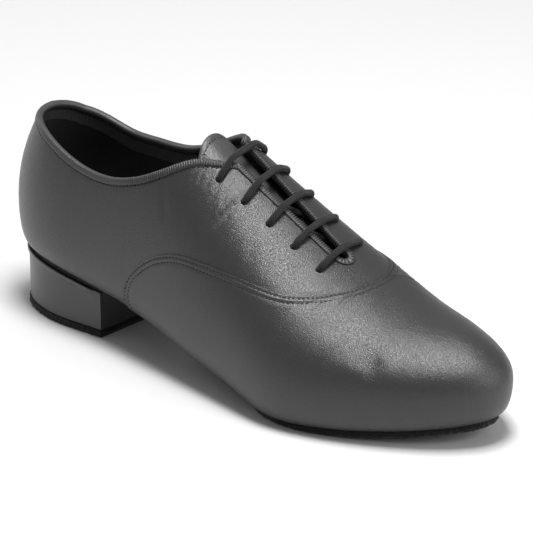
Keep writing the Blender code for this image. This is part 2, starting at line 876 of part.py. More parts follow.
LaceBar = namedtuple("LaceBar", "row start end")
# The lace's way, from the tail at its one end to the tail at the other. Rows count from the top.
LACE_BARS = [
    LaceBar(1, "inner", "outer"),
    LaceBar(3, "inner", "outer"),
    LaceBar(4, "outer", "inner"),
    LaceBar(2, "outer", "inner"),
    LaceBar(0, "inner", "outer"),
]


def lace_route():
    points = []
    first, last = LACE_BARS[0], LACE_BARS[-1]
    points.append(over_row(first.row, first.start, eyelet_across(first.row), -UNDER))
    for i, bar in enumerate(LACE_BARS):
        points += bar_points(*bar)
        if i + 1 < len(LACE_BARS):
            after = LACE_BARS[i + 1]
            points += strand_points(bar.row, bar.end, after.row, after.start)
    points.append(over_row(last.row, last.end, eyelet_across(last.row), -UNDER))
    return points


def laces():
    """One round lace in straight bars, its ends just under the top two rows."""
    curve = bpy.data.curves.new("laces", "CURVE")
    curve.dimensions = "3D"
    curve.bevel_depth = LACE_RADIUS
    curve.bevel_resolution = 2
    curve.use_fill_caps = True
    points = lace_route()
    spline = curve.splines.new("POLY")
    spline.points.add(len(points) - 1)
    for spot, point in zip(spline.points, points):
        spot.co = (*point, 1)
    curve.materials.append(LACE)
    obj = bpy.data.objects.new("laces", curve)
    bpy.context.scene.collection.objects.link(obj)
    return obj


TongueRow = namedtuple("TongueRow", "across depth")
# Across the tongue, from its middle to its edge: the depth of its top under the upper's outer
# face is a share of TONGUE_DEPTH.
TONGUE_ROWS = [
    TongueRow(0.00, 1.00),
    TongueRow(0.45, 1.00),
    TongueRow(0.80, 0.98),
    TongueRow(0.92, 0.76),
    TongueRow(1.00, 0.62),
]


def tongue():
    """A thin plate under the throat, hollow enough under the facings for the lace."""
    depth = smooth_curve([row.across for row in TONGUE_ROWS], [row.depth for row in TONGUE_ROWS])
    top_run = THROAT_TOP_RUN + TONGUE_TOP
    columns = rows = TONGUE_COLUMNS
    grids = []
    for down in (0.0, TONGUE_THICKNESS):
        grid = []
        for j in range(rows + 1):
            line = []
            for i in range(columns + 1):
                across = 2 * i / columns - 1
                rounded = 1 - abs(across) ** 3 * TONGUE_ROUND * TONGUE_TOP_WIDTH / (top_run + TONGUE_TAIL)
                share = j / rows
                run = -TONGUE_TAIL + (top_run + TONGUE_TAIL) * share * (1 - share * (1 - rounded))
                half = (TONGUE_TAIL_WIDTH + (TONGUE_TOP_WIDTH - TONGUE_TAIL_WIDTH) * share) / 2
                lift = -TONGUE_DEPTH * depth(abs(across)) - down
                line.append(over_throat(run, across * half, lift))
            grid.append(line)
        grids.append(grid)
    mesh = bmesh.new()
    above, below = (skin(mesh, grid) for grid in grids)
    for end in (0, -1):
        join_edges(mesh, above[end], below[end])
        join_edges(mesh, [row[end] for row in above], [row[end] for row in below])
    return new_object("tongue", mesh, LEATHER_TONGUE)


def edge_frames(side):
    """Along the upper's edge on one side: the edge, the way out and up from it, and the foot."""
    places = [place for place in RIB_PLACES if place < THROAT_END_PLACE + 1e-9]
    edge = [form_point(side, place, top_level(side, place)) for place in places]
    mirrored = {
        -1: form_point(OTHER[side], places[1], top_level(OTHER[side], places[1])),
        len(edge): form_point(OTHER[side], places[-2], top_level(OTHER[side], places[-2])),
    }
    frames = []
    for i, place in enumerate(places):
        before = edge[i - 1] if i > 0 else mirrored[-1]
        after = edge[i + 1] if i + 1 < len(edge) else mirrored[len(edge)]
        along = ((after - edge[i]).normalized() + (edge[i] - before).normalized()).normalized()
        level = top_level(side, place)
        out = form_normal(side, place, level)
        down = (out.cross(along) * SIDES[side]).normalized()
        forward, upward = form_slopes(side, place, level)
        cross = forward.dot(upward)
        metric = np.array([[forward.dot(forward), cross], [cross, upward.dot(upward)]])
        wanted = np.array([forward.dot(down), upward.dot(down)]) * BINDING_DEPTH
        step = np.linalg.solve(metric, wanted)
        foot = (side, place + step[0], level + step[1])
        frames.append((edge[i], out, -down, form_point(*foot), form_normal(*foot)))
    return frames


def topline_binding():
    """A folded strip over the whole of the upper's edge, from the throat's end and back to it."""
    outside = CLEARANCE + BINDING_THICKNESS
    inside = -UPPER_WALL - BINDING_CLEARANCE
    over = CLEARANCE + BINDING_THICKNESS
    round_off = BINDING_THICKNESS * 0.8
    mesh = bmesh.new()
    for side in SIDES:
        rows = []
        for edge, out, up, foot, foot_out in edge_frames(side):
            rows.append(
                [
                    foot + foot_out * CLEARANCE,
                    edge + out * CLEARANCE + up * CLEARANCE,
                    edge + out * inside + up * CLEARANCE,
                    foot + foot_out * inside,
                    foot + foot_out * (inside - BINDING_THICKNESS),
                    edge + out * (inside - BINDING_THICKNESS),
                    edge + out * (inside - BINDING_THICKNESS + round_off) + up * over,
                    edge + out * (outside - round_off) + up * over,
                    edge + out * outside,
                    foot + foot_out * outside,
                    foot + foot_out * CLEARANCE,
                ]
            )
        skin(mesh, rows)
    return new_object("topline_binding", mesh, LEATHER_BINDING)


for old in list(bpy.data.objects):
    bpy.data.objects.remove(old)

LEATHER = finish("black leather", (0.028, 0.028, 0.029), 0.38)
LEATHER_HEEL = finish("heel cover leather", (0.026, 0.026, 0.027), 0.36)
LEATHER_TONGUE = finish("tongue leather", (0.035, 0.035, 0.036), 0.42)
LEATHER_BINDING = finish("binding leather", (0.024, 0.024, 0.025), 0.40)
LINING = finish("dark lining", (0.014, 0.014, 0.015), 0.80)
SUEDE = finish("sole suede", (0.008, 0.008, 0.008), 0.95)
LACE = finish("lace cord", (0.012, 0.012, 0.013), 0.75)

outsole()
heel()
heel_tip()
upper()
insole()
tongue()
laces()
topline_binding()
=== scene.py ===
import math
from collections import namedtuple

import bmesh
import bpy
import numpy as np
from mathutils import Matrix, Vector, kdtree, noise


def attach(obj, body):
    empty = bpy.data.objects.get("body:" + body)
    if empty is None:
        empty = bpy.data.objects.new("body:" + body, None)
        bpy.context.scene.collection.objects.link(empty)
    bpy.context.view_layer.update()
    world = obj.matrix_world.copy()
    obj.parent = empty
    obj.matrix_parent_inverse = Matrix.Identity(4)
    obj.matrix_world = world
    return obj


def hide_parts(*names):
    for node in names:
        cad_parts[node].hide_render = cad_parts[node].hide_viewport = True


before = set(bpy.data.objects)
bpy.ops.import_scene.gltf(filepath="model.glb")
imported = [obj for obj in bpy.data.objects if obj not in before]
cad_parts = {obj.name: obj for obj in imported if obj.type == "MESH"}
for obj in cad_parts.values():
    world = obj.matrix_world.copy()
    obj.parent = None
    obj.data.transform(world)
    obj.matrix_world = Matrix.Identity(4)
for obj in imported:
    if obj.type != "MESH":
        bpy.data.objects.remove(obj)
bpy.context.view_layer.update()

# The studio: a pale floor without an edge, a wide soft light overhead, weaker ones from the sides,
# and the camera where the photograph was taken from, 2 m away.
CAMERA_AZIMUTH = math.radians(43.0)
CAMERA_ELEVATION = math.radians(23.48)
CAMERA_DISTANCE = 2.0
SENSOR = 36.0
PHOTO_SIZE = 533
FOCAL_PIXELS = 4240
AIM_HEIGHT = 0.045
AIM_RIGHT = 0.0061
AIM_UP = 0.0046
FLOOR_COLOR = (0.62, 0.62, 0.62)
FLOOR_ROUGHNESS = 0.32
FLOOR_SHINE = 0.25
FLOOR_REACH = 8.0
SKY_STRENGTH = 0.36

Softbox = namedtuple("Softbox", "name place aim width depth power")
SOFTBOXES = [
    Softbox("overhead", (0.14, -0.06, 1.45), (0.04, 0.0, 0.06), 0.40, 0.62, 30.0),
    Softbox("toe_side", (1.3, 0.35, 0.7), (0.10, 0.0, 0.03), 0.5, 0.9, 9.0),
    Softbox("heel_side", (-1.2, 0.1, 0.5), (-0.10, 0.0, 0.05), 0.5, 0.8, 3.0),
]


def new_finish(name, color, roughness):
    """A material, its node tree and its surface shader."""
    material = bpy.data.materials.new(name)
    material.use_nodes = True
    surface = material.node_tree.nodes["Principled BSDF"]
    surface.inputs["Base Color"].default_value = (*color, 1)
    surface.inputs["Roughness"].default_value = roughness
    return material, material.node_tree, surface


def new_piece(name, mesh, *materials):
    """Put a finished bmesh in the scene, smooth, with its materials."""
    data = bpy.data.meshes.new(name)
    mesh.to_mesh(data)
    mesh.free()
    for material in materials:
        data.materials.append(material)
    data.shade_smooth()
    piece = bpy.data.objects.new(name, data)
    bpy.context.scene.collection.objects.link(piece)
    return piece


bpy.context.scene.view_settings.view_transform = "Standard"
floor_mesh = bmesh.new()
bmesh.ops.create_grid(floor_mesh, x_segments=1, y_segments=1, size=FLOOR_REACH)
floor_finish, _, floor_surface = new_finish("pale floor", FLOOR_COLOR, FLOOR_ROUGHNESS)
floor_surface.inputs["Specular IOR Level"].default_value = FLOOR_SHINE
new_piece("floor", floor_mesh, floor_finish)

world = bpy.data.worlds.new("soft daylight")
world.use_nodes = True
world.node_tree.nodes["Background"].inputs["Color"].default_value = (1, 1, 1, 1)
world.node_tree.nodes["Background"].inputs["Strength"].default_value = SKY_STRENGTH
bpy.context.scene.world = world

for box in SOFTBOXES:
    light = bpy.data.lights.new(box.name, "AREA")
    light.shape = "RECTANGLE"
    light.size = box.width
    light.size_y = box.depth
    light.energy = box.power
    lamp = bpy.data.objects.new(box.name, light)
    lamp.location = box.place
    toward = Vector(box.aim) - Vector(box.place)
    lamp.rotation_euler = toward.to_track_quat("-Z", "Y").to_euler()
    bpy.context.scene.collection.objects.link(lamp)

to_camera = Vector(
    (
        math.sin(CAMERA_AZIMUTH) * math.cos(CAMERA_ELEVATION),
        -math.cos(CAMERA_AZIMUTH) * math.cos(CAMERA_ELEVATION),
        math.sin(CAMERA_ELEVATION),
    )
)
to_right = Vector((math.cos(CAMERA_AZIMUTH), math.sin(CAMERA_AZIMUTH), 0))
to_top = to_camera.cross(to_right)
camera = bpy.data.objects.new("camera", bpy.data.cameras.new("camera"))
camera.data.sensor_width = SENSOR
camera.data.lens = FOCAL_PIXELS / PHOTO_SIZE * SENSOR
aim = Vector((0, 0, AIM_HEIGHT)) + to_right * AIM_RIGHT + to_top * AIM_UP
camera.location = aim + to_camera * CAMERA_DISTANCE
camera.rotation_euler = to_camera.to_track_quat("Z", "Y").to_euler()
bpy.context.scene.collection.objects.link(camera)
bpy.context.scene.camera = camera

# The upper: quarters and vamp of black nappa, lasted as one hollow wall. The vamp laps over the
# quarters with a cut edge and two rows of stitches, and the inside is lined. Its form is the
# last's: each section is worked out from the length, the ball's width, the instep and the heel.
LENGTH = 0.2870
WIDTH = 0.098
HEEL_OFFSET = 0.0036
INSTEP_RISE = 0.082
HEEL_HEIGHT = 0.0305
TOE_SPRING = 0.009
HEEL_ROUND = 0.053
TOE_ROUND = 0.098
HEEL_REACH = 0.067
HEEL_ZONE = 0.158
TOE_REACH = 0.034
ROUND_POWER = 2.2
CLEARANCE = 0.0003
UPPER_WALL = 0.0016
SOLE_THICKNESS = 0.0038
SEAT_THICKNESS = 0.0018
COLLAR_BACK_RISE = 0.066
LASTING_MARGIN = 0.012
CORNER_ROUND = 0.05
THROAT_TOP = 0.1310
THROAT_LENGTH = 0.067
THROAT_TOP_GAP = 0.0138
THROAT_END_GAP = 0.0058
VAMP_STEP = 0.0006
ROLL_DRAW = 0.25
ROLL_DROP = 0.50
STEP = 1e-3
OUTLINE_POINTS = 721
# The sides' collar lines meet over this share of the way from the back. A collar that would stand
# above the ridge gets the level PAST_RIDGE, and the facing's edge is looked for from FACING_LOW up.
BACK_BLEND = 0.07
PAST_RIDGE = 1.3
FACING_LOW = 0.3
CORNER_REACH = 0.2

Section = namedtuple(
    "Section",
    "name along outer inner lift spring widest ridge crest tuck_outer tuck_inner side "
    "crown_outer crown_inner",
)
# Along is a share of LENGTH. Outer and inner are how far the widest line stands from the heel's
# middle line, crest is where the ridge is, and the tucks are how far the bottom line is drawn in:
# shares of WIDTH. Lift is a share of HEEL_HEIGHT, spring of TOE_SPRING, widest and ridge of
# INSTEP_RISE. Side and the crowns say how full the section is.
SECTIONS = [
    Section("back", 0.00, 0.340, 0.342, 1.00, 0.00, 0.27, 1.24, 0.00, 0.054, 0.054, 0.50, 0.50, 0.50),
    Section("heel", 0.10, 0.338, 0.342, 0.97, 0.00, 0.26, 1.28, 0.00, 0.050, 0.060, 0.46, 0.52, 0.52),
    Section("breast", 0.24, 0.340, 0.318, 0.78, 0.00, 0.25, 1.33, 0.00, 0.080, 0.085, 0.42, 0.56, 0.56),
    Section("waist", 0.36, 0.356, 0.303, 0.54, 0.00, 0.25, 1.30, 0.01, 0.124, 0.110, 0.43, 0.64, 0.70),
    Section("instep", 0.47, 0.394, 0.355, 0.29, 0.00, 0.24, 1.16, 0.03, 0.134, 0.090, 0.46, 0.70, 0.90),
    Section("joint", 0.58, 0.432, 0.440, 0.12, 0.00, 0.23, 0.965, 0.065, 0.110, 0.060, 0.50, 0.68, 0.88),
    Section("ball", 0.68, 0.458, 0.515, 0.00, 0.00, 0.22, 0.795, 0.09, 0.062, 0.048, 0.54, 0.66, 0.80),
    Section("tread", 0.78, 0.412, 0.550, 0.00, 0.12, 0.21, 0.605, 0.115, 0.052, 0.048, 0.56, 0.64, 0.72),
    Section("toe box", 0.89, 0.325, 0.550, 0.00, 0.46, 0.20, 0.49, 0.14, 0.056, 0.056, 0.58, 0.62, 0.72),
    Section("tip", 1.00, 0.220, 0.535, 0.00, 1.00, 0.19, 0.39, 0.16, 0.060, 0.060, 0.58, 0.65, 0.65),
]

CollarRow = namedtuple("CollarRow", "along outer inner")
# How high the collar's edge stands over the bottom line, as shares of COLLAR_BACK_RISE.
COLLAR = [
    CollarRow(0.00, 1.00, 1.00),
    CollarRow(0.06, 1.01, 0.93),
    CollarRow(0.13, 0.965, 0.80),
    CollarRow(0.20, 0.915, 0.84),
    CollarRow(0.27, 0.935, 0.93),
    CollarRow(0.34, 1.07, 1.10),
    CollarRow(0.40, 1.26, 1.30),
    CollarRow(0.44, 1.38, 1.42),
    CollarRow(0.48, 1.40, 1.49),
]

SeamRow = namedtuple("SeamRow", "place level")
# The vamp's edge: places run from 0 at the heel's back to 1 at the toe's tip, and the level is -1
# at the bottom line, 0 at the widest line and 1 on the ridge.
VAMP_SEAM = [
    SeamRow(0.3380, -0.40),
    SeamRow(0.3412, -0.20),
    SeamRow(0.3460, -0.08),
    SeamRow(0.3495, 0.0),
    SeamRow(0.362, 0.060),
    SeamRow(0.388, 0.145),
    SeamRow(0.420, 0.225),
    SeamRow(0.460, 0.300),
    SeamRow(0.510, 0.365),
    SeamRow(0.560, 0.430),
    SeamRow(0.610, 0.500),
    SeamRow(0.650, 0.575),
    SeamRow(0.680, 0.680),
    SeamRow(0.700, 0.800),
    SeamRow(0.7130, 0.920),
    SeamRow(0.7155, 1.0),
]


def smooth_curve(stations, values):
    """A natural cubic spline through the values, as a function of the station."""
    x, y = np.array(stations, float), np.array(values, float)
    step, count = np.diff(x), len(x)
    matrix, right = np.eye(count), np.zeros(count)
    for i in range(1, count - 1):
        matrix[i, i - 1 : i + 2] = step[i - 1], 2 * (step[i - 1] + step[i]), step[i]
        right[i] = 6 * ((y[i + 1] - y[i]) / step[i] - (y[i] - y[i - 1]) / step[i - 1])
    bend = np.linalg.solve(matrix, right)

    def value(at):
        at = np.clip(at, x[0], x[-1])
        i = np.clip(np.searchsorted(x, at) - 1, 0, count - 2)
        a, b, h = x[i + 1] - at, at - x[i], step[i]
        curve = (bend[i] * a**3 + bend[i + 1] * b**3) / (6 * h)
        return curve + (y[i] / h - bend[i] * h / 6) * a + (y[i + 1] / h - bend[i + 1] * h / 6) * b

    return value


def level_curve(stations, values, first_slope=0.0):
    """A curve through the values that never swings past them, so that what is flat stays flat."""
    x, y = np.array(stations, float), np.array(values, float)
    rise = np.diff(y) / np.diff(x)
    slope = np.zeros(len(x))
    for i in range(1, len(x) - 1):
        if rise[i - 1] * rise[i] > 0:
            slope[i] = 2 * rise[i - 1] * rise[i] / (rise[i - 1] + rise[i])
    slope[0], slope[-1] = first_slope, rise[-1]

    def value(at):
        at = np.clip(at, x[0], x[-1])
        i = np.clip(np.searchsorted(x, at) - 1, 0, len(x) - 2)
        h = x[i + 1] - x[i]
        s = (at - x[i]) / h
        start = (1 + 2 * s) * (1 - s) ** 2 * y[i] + s * (1 - s) ** 2 * h * slope[i]
        return start + s * s * (3 - 2 * s) * y[i + 1] + s * s * (s - 1) * h * slope[i + 1]

    return value


def column(rows, name, curve=smooth_curve):
    """One column of a table as a curve along the shoe."""
    return curve([row.along for row in rows], [getattr(row, name) for row in rows])


FORM = {name: column(SECTIONS, name) for name in Section._fields[2:]}
FORM["lift"] = column(SECTIONS, "lift", level_curve)
FORM["spring"] = column(SECTIONS, "spring", level_curve)
OUTER, INNER = -1, 1
COLLAR_LINES = [column(COLLAR, name) for name in ("outer", "inner")]
SEAM_START_SLOPE = 90.0
seam_level = level_curve(*zip(*VAMP_SEAM), SEAM_START_SLOPE)
VAMP_START, VAMP_CLOSE = VAMP_SEAM[0].place, VAMP_SEAM[-1].place


def along_of(x):
    return x / LENGTH + 0.5


def end_round(x):
    """How much of the section's width is left where the heel and the toe round off."""
    left = 1.0
    for distance, reach in ((x + LENGTH / 2, HEEL_ROUND), (LENGTH / 2 - x, TOE_ROUND)):
        near = np.clip(1 - distance / reach, 0, 1)
        left = left * (1 - near**ROUND_POWER) ** (1 / ROUND_POWER)
    return left


def bottom_z(x):
    """The height of the upper's underside, where it is lasted to the sole and the heel."""
    along = along_of(x)
    forepart = SOLE_THICKNESS + CLEARANCE + TOE_SPRING * FORM["spring"](along)
    lift = HEEL_HEIGHT + SEAT_THICKNESS - SOLE_THICKNESS + CLEARANCE
    return forepart + lift * FORM["lift"](along)


def ridge_y(x):
    return WIDTH * FORM["crest"](along_of(x)) - HEEL_OFFSET


def ridge_z(x):
    return bottom_z(x) + INSTEP_RISE * FORM["ridge"](along_of(x))


def outline_of(side):
    """Fine points of the widest line, heel to toe, and the way out from the shoe at each."""
    x = -LENGTH / 2 * np.cos(np.linspace(0, math.pi, OUTLINE_POINTS))
    outer, inner = FORM["outer"](along_of(x)), FORM["inner"](along_of(x))
    y = WIDTH * ((inner - outer) / 2 + side * (inner + outer) / 2 * end_round(x)) - HEEL_OFFSET
    run_x, run_y = np.gradient(x), np.gradient(y)
    run_x[[0, -1]] = 0
    run_y[0], run_y[-1] = side, -side
    size = np.hypot(run_x, run_y)
    return x, y, -side * run_y / size, side * run_x / size


OUTLINE = {side: outline_of(side) for side in (OUTER, INNER)}
MEAN_STEP = sum(np.hypot(np.diff(x), np.diff(y)) for x, y, _, _ in OUTLINE.values()) / 2
MEAN_RUN = np.concatenate([[0], np.cumsum(MEAN_STEP)])
PERIMETER = MEAN_RUN[-1]

Rib = namedtuple("Rib", "foot_x foot_y out_x out_y spine_x spine_y foot_z tuck side crown")


def by_side(side, outer, inner):
    return np.where(side < 0, outer, inner)


def rib(side, place):
    """What the last's section is made from where it leaves the widest line at this place."""
    run = place * PERIMETER
    found = [[np.interp(run, MEAN_RUN, row) for row in OUTLINE[at]] for at in (OUTER, INNER)]
    x, y, out_x, out_y = (by_side(side, *pair) for pair in zip(*found))
    size = np.hypot(out_x, out_y)
    behind = np.maximum(1 - (x + LENGTH / 2) / HEEL_ZONE, 0)
    ahead = np.maximum(1 - (LENGTH / 2 - x) / TOE_ROUND, 0)
    spine_x = x + HEEL_REACH * behind**2 - TOE_REACH * ahead**2
    along = along_of(x)
    return Rib(
        foot_x=x,
        foot_y=y,
        out_x=out_x / size,
        out_y=out_y / size,
        spine_x=spine_x,
        spine_y=ridge_y(spine_x),
        foot_z=bottom_z(x) + INSTEP_RISE * FORM["widest"](along),
        tuck=WIDTH * by_side(side, FORM["tuck_outer"](along), FORM["tuck_inner"](along)),
        side=FORM["side"](along),
        crown=by_side(side, FORM["crown_outer"](along), FORM["crown_inner"](along)),
    )


def form_points(side, place, level):
    """Points of the last: level 1 is the ridge, 0 the widest line, -1 the bottom line.

    From -1 to -2 they are on the margin that is turned in under the foot. Past the ridge, the
    heel's back and the toe's tip, the form goes on down its other side.
    """
    side, place, level = (np.array(a, float) for a in np.broadcast_arrays(side, place, level))
    crossed = (level > 1) ^ (place < 0) ^ (place > 1)
    side = np.where(crossed, -side, side)
    level = np.where(level > 1, 2 - level, level)
    place = np.where(place < 0, -place, np.where(place > 1, 2 - place, place))
    r = rib(side, place)
    b = np.clip(level, 0, 1)
    a = 1 - b
    out = a**3 + 3 * a * a * b + 3 * r.crown * a * b * b
    up = 3 * r.side * a * a * b + 3 * a * b * b + b**3
    top_x = r.spine_x + (r.foot_x - r.spine_x) * out
    top_y = r.spine_y + (r.foot_y - r.spine_y) * out
    top_z = r.foot_z + (ridge_z(top_x) - r.foot_z) * up
    b = np.clip(-level, 0, 1)
    a = 1 - b
    inward = r.tuck * (3 * ROLL_DRAW * a * b * b + b**3)
    inward = inward + LASTING_MARGIN * np.maximum(-level - 1, 0)
    low_x, low_y = r.foot_x - r.out_x * inward, r.foot_y - r.out_y * inward
    down = 3 * ROLL_DROP * a * a * b + 3 * a * b * b + b**3
    low_z = r.foot_z + (bottom_z(low_x) - r.foot_z) * down
    pairs = ((top_x, low_x), (top_y, low_y), (top_z, low_z))
    return np.stack([np.where(level >= 0, high, low) for high, low in pairs], -1)


def form_slopes(side, place, level):
    """How the form runs here, along the shoe and up the section."""
    forward = form_points(side, place + STEP, level) - form_points(side, place - STEP, level)
    upward = form_points(side, place, level + STEP) - form_points(side, place, level - STEP)
    return forward / (2 * STEP), upward / (2 * STEP)


def unit(vectors):
    return vectors / np.linalg.norm(vectors, axis=-1, keepdims=True)


def form_normals(side, place, level):
    """The way out of the form; right at the toe's tip it is the one just below the ridge."""
    tip = (np.asarray(place) > 1 - STEP) & (np.asarray(level) > 1 - STEP)
    forward, upward = form_slopes(side, place, np.where(tip, 1 - 2 * STEP, level))
    return unit(np.cross(forward, upward) * -np.asarray(side, float)[..., None])


def off_form(side, place, level, lift):
    """Points this far outside the last, or inside it where lift is negative."""
    side, place, level, lift = np.broadcast_arrays(side, place, level, lift)
    return form_points(side, place, level) + form_normals(side, place, level) * lift[..., None]


def solve(low, high, value, rounds=34):
    """Where a value that rises from below zero to above it is zero."""
    for _ in range(rounds):
        middle = (low + high) / 2
        below = value(middle) < 0
        low, high = np.where(below, middle, low), np.where(below, high, middle)
    return (low + high) / 2


def throat_half(x):
    """Half the width of the throat's opening, from its top down to its round end."""
    before_end = THROAT_TOP + THROAT_LENGTH - LENGTH / 2 - x
    widen = before_end / THROAT_LENGTH
    half = (THROAT_END_GAP + (THROAT_TOP_GAP - THROAT_END_GAP) * widen) / 2
    end = THROAT_END_GAP / 2
    return half * np.sqrt(np.clip(1 - (1 - np.minimum(before_end / end, 1)) ** 2, 0, 1))


def collar_level(side, place):
    """The level of the collar's edge, before the throat is opened. The sides meet at the back."""
    own = np.clip(np.abs(place) / BACK_BLEND, 0, 1)

    def above(level):
        point = form_points(side, place, level)
        along = along_of(point[..., 0])
        outer, inner = (line(along) for line in COLLAR_LINES)
        line = by_side(side, outer, outer + (inner - outer) * own)
        return point[..., 2] - bottom_z(point[..., 0]) - COLLAR_BACK_RISE * line

    zero, one = np.zeros(np.shape(place)), np.ones(np.shape(place))
    return np.where(above(one) > 0, solve(zero, one, above), PAST_RIDGE)


def throat_level(side, place):
    """The level of the facing's edge, beside the opening over the instep."""

    def within(level):
        point = form_points(side, place, level)
        return throat_half(point[..., 0]) - abs(point[..., 1] - ridge_y(point[..., 0]))

    one = np.ones(np.shape(place))
    return solve(FACING_LOW * one, one, within)


def top_level(side, place):
    """The level of the upper's edge: collar and facing, with their corner rounded."""
    side, place = (np.array(a, float) for a in np.broadcast_arrays(side, place))
    side = np.where(place == 0, OUTER, side)
    spine_x = rib(side, place).spine_x
    collar, throat = collar_level(side, place), throat_level(side, place)
    both = (collar + throat - np.hypot(collar - throat, CORNER_ROUND)) / 2
    behind = spine_x < THROAT_TOP_X - CORNER_REACH * THROAT_TOP
    return np.where(spine_x > THROAT_END_X - 1e-9, 1.0, np.where(behind, collar, both))


def place_of_spine(x):
    """The place of the rib that ends on the ridge at this x."""
    return float(solve(np.zeros(1), np.ones(1), lambda place: rib(OUTER, place).spine_x - x)[0])


THROAT_TOP_X = THROAT_TOP - LENGTH / 2
THROAT_END_X = THROAT_TOP + THROAT_LENGTH - LENGTH / 2
THROAT_END_PLACE = place_of_spine(THROAT_END_X)


def run_along(points):
    """How far along a line of points each one is."""
    steps = np.linalg.norm(np.diff(points, axis=0), axis=1)
    return np.concatenate([[0], np.cumsum(steps)])


# The throat's own measure: how far up the ridge from its end, and how far across. It goes on a
# little past both ends of the throat.
THROAT_AHEAD = 0.03
THROAT_BEHIND = 0.04
THROAT_POINTS = 300
THROAT_ROUNDS = 6
RIDGE_REACH = 0.005
throat_x = np.linspace(THROAT_END_X + THROAT_AHEAD, THROAT_TOP_X - THROAT_BEHIND, THROAT_POINTS)
throat_run = run_along(np.stack([throat_x, ridge_y(throat_x), ridge_z(throat_x)], -1))
throat_run -= np.interp(-THROAT_END_X, -throat_x, throat_run)
THROAT_TOP_RUN = float(np.interp(-THROAT_TOP_X, -throat_x, throat_run))


def over_throat(run, across, lift):
    """Points up the ridge from the throat's end, square to one side of it and off the last."""
    run, across, lift = (np.array(a, float) for a in np.broadcast_arrays(run, across, lift))
    x = np.interp(run, throat_run, throat_x)
    ahead = (ridge_y(x + RIDGE_REACH) - ridge_y(x - RIDGE_REACH)) / (2 * RIDGE_REACH)
    size = np.hypot(1, ahead)
    x, y = x - across * ahead / size, ridge_y(x) + across / size
    place = np.interp(x, OUTLINE[OUTER][0], MEAN_RUN) / PERIMETER
    side = np.where(y < ridge_y(x), OUTER, INNER)

    def past_point(level):
        return side * (y - form_points(side, place, level)[..., 1])

    for _ in range(THROAT_ROUNDS):
        level = solve(np.zeros(x.shape), np.ones(x.shape), past_point)
        missed = x - form_points(side, place, level)[..., 0]
        place = np.clip(place + missed / PERIMETER, 0, 1)
    return off_form(side, place, level, lift)


def moved_grid(points):
    """A grid of quads moved onto rows of points; U runs along the rows and V from row to row."""
    rows, columns = points.shape[:2]
    mesh = bmesh.new()
    mesh.loops.layers.uv.new("UVMap")
    bmesh.ops.create_grid(
        mesh, x_segments=columns - 1, y_segments=rows - 1, size=0.5, calc_uvs=True
    )
    for vert in mesh.verts:
        i = round((vert.co.y + 0.5) * (rows - 1))
        j = round((vert.co.x + 0.5) * (columns - 1))
        vert.co = points[i, j]
    return mesh


def join_doubles(mesh, distance=2e-6):
    """Merge points that lie on each other, and the edges without a length that this leaves."""
    bmesh.ops.remove_doubles(mesh, verts=mesh.verts, dist=distance)
    bmesh.ops.dissolve_degenerate(mesh, edges=mesh.edges, dist=1e-7)


def add_to(mesh, other):
    """Add another bmesh to this one, UV map and all."""
    data = bpy.data.meshes.new("added")
    other.to_mesh(data)
    other.free()
    mesh.from_mesh(data)
    bpy.data.meshes.remove(data)


# Where the eyelets are: rows count from the top, and the inner holes stand a little further up.
EYELET_ROWS = 5
EYELET_FIRST = 0.0066
EYELET_LAST = 0.0053
EYELET_TOP_HALF = 0.0180
EYELET_END_HALF = 0.0164
EYELET_SKEW = 0.0010
EYELET_RADIUS = 0.0019
EYELET_SIDES = 20
ROW_RUNS = np.linspace(THROAT_TOP_RUN - EYELET_FIRST, EYELET_LAST, EYELET_ROWS)
ROW_HALVES = np.linspace(EYELET_TOP_HALF, EYELET_END_HALF, EYELET_ROWS)


def over_row(row, side, across, lift):
    """A point beside a row of holes."""
    skew = EYELET_SKEW * side * across / ROW_HALVES[row]
    return Vector(over_throat(ROW_RUNS[row] + skew, side * across, lift))


# The creases, placed on the outer side: from where to where on the last, in metres from
# the shoe's middle, how wide and how deep. Each is a soft trough between two low ridges.
Crease = namedtuple("Crease", "name start end width depth")
CREASES = [
    Crease("second row", (0.0086, -0.0160, 0.0920), (0.0050, -0.0300, 0.0822), 0.0021, 0.00055),
    Crease("corner 1", (-0.0127, -0.0180, 0.1040), (-0.0120, -0.0250, 0.0968), 0.0010, 0.00030),
    Crease("corner 2", (-0.0096, -0.0160, 0.1035), (-0.0076, -0.0250, 0.0950), 0.0009, 0.00028),
    Crease("corner 3", (-0.0046, -0.0135, 0.1020), (-0.0025, -0.0255, 0.0920), 0.0010, 0.00026),
    Crease("corner 4", (0.0014, -0.0130, 0.0982), (0.0025, -0.0245, 0.0900), 0.0011, 0.00022),
    Crease("corner 5", (-0.0150, -0.0205, 0.1020), (-0.0150, -0.0275, 0.0935), 0.0011, 0.00024),
    Crease("collar 1", (-0.0201, -0.0250, 0.0998), (-0.0165, -0.0320, 0.0860), 0.0016, 0.00024),
    Crease("collar 2", (-0.0300, -0.0295, 0.0940), (-0.0240, -0.0350, 0.0770), 0.0018, 0.00022),
    Crease("facing", (0.0220, -0.0215, 0.0803), (0.0270, -0.0325, 0.0685), 0.0020, 0.00018),
    Crease("toe flex", (0.0850, -0.0268, 0.0445), (0.1010, -0.0262, 0.0375), 0.0036, 0.00110),
]
CREASE_STEPS = 24
CREASE_FADE = 0.08
CREASE_BLUNT = 0.8
CREASE_RIDGE = 0.55
CREASE_RIDGE_APART = 1.9


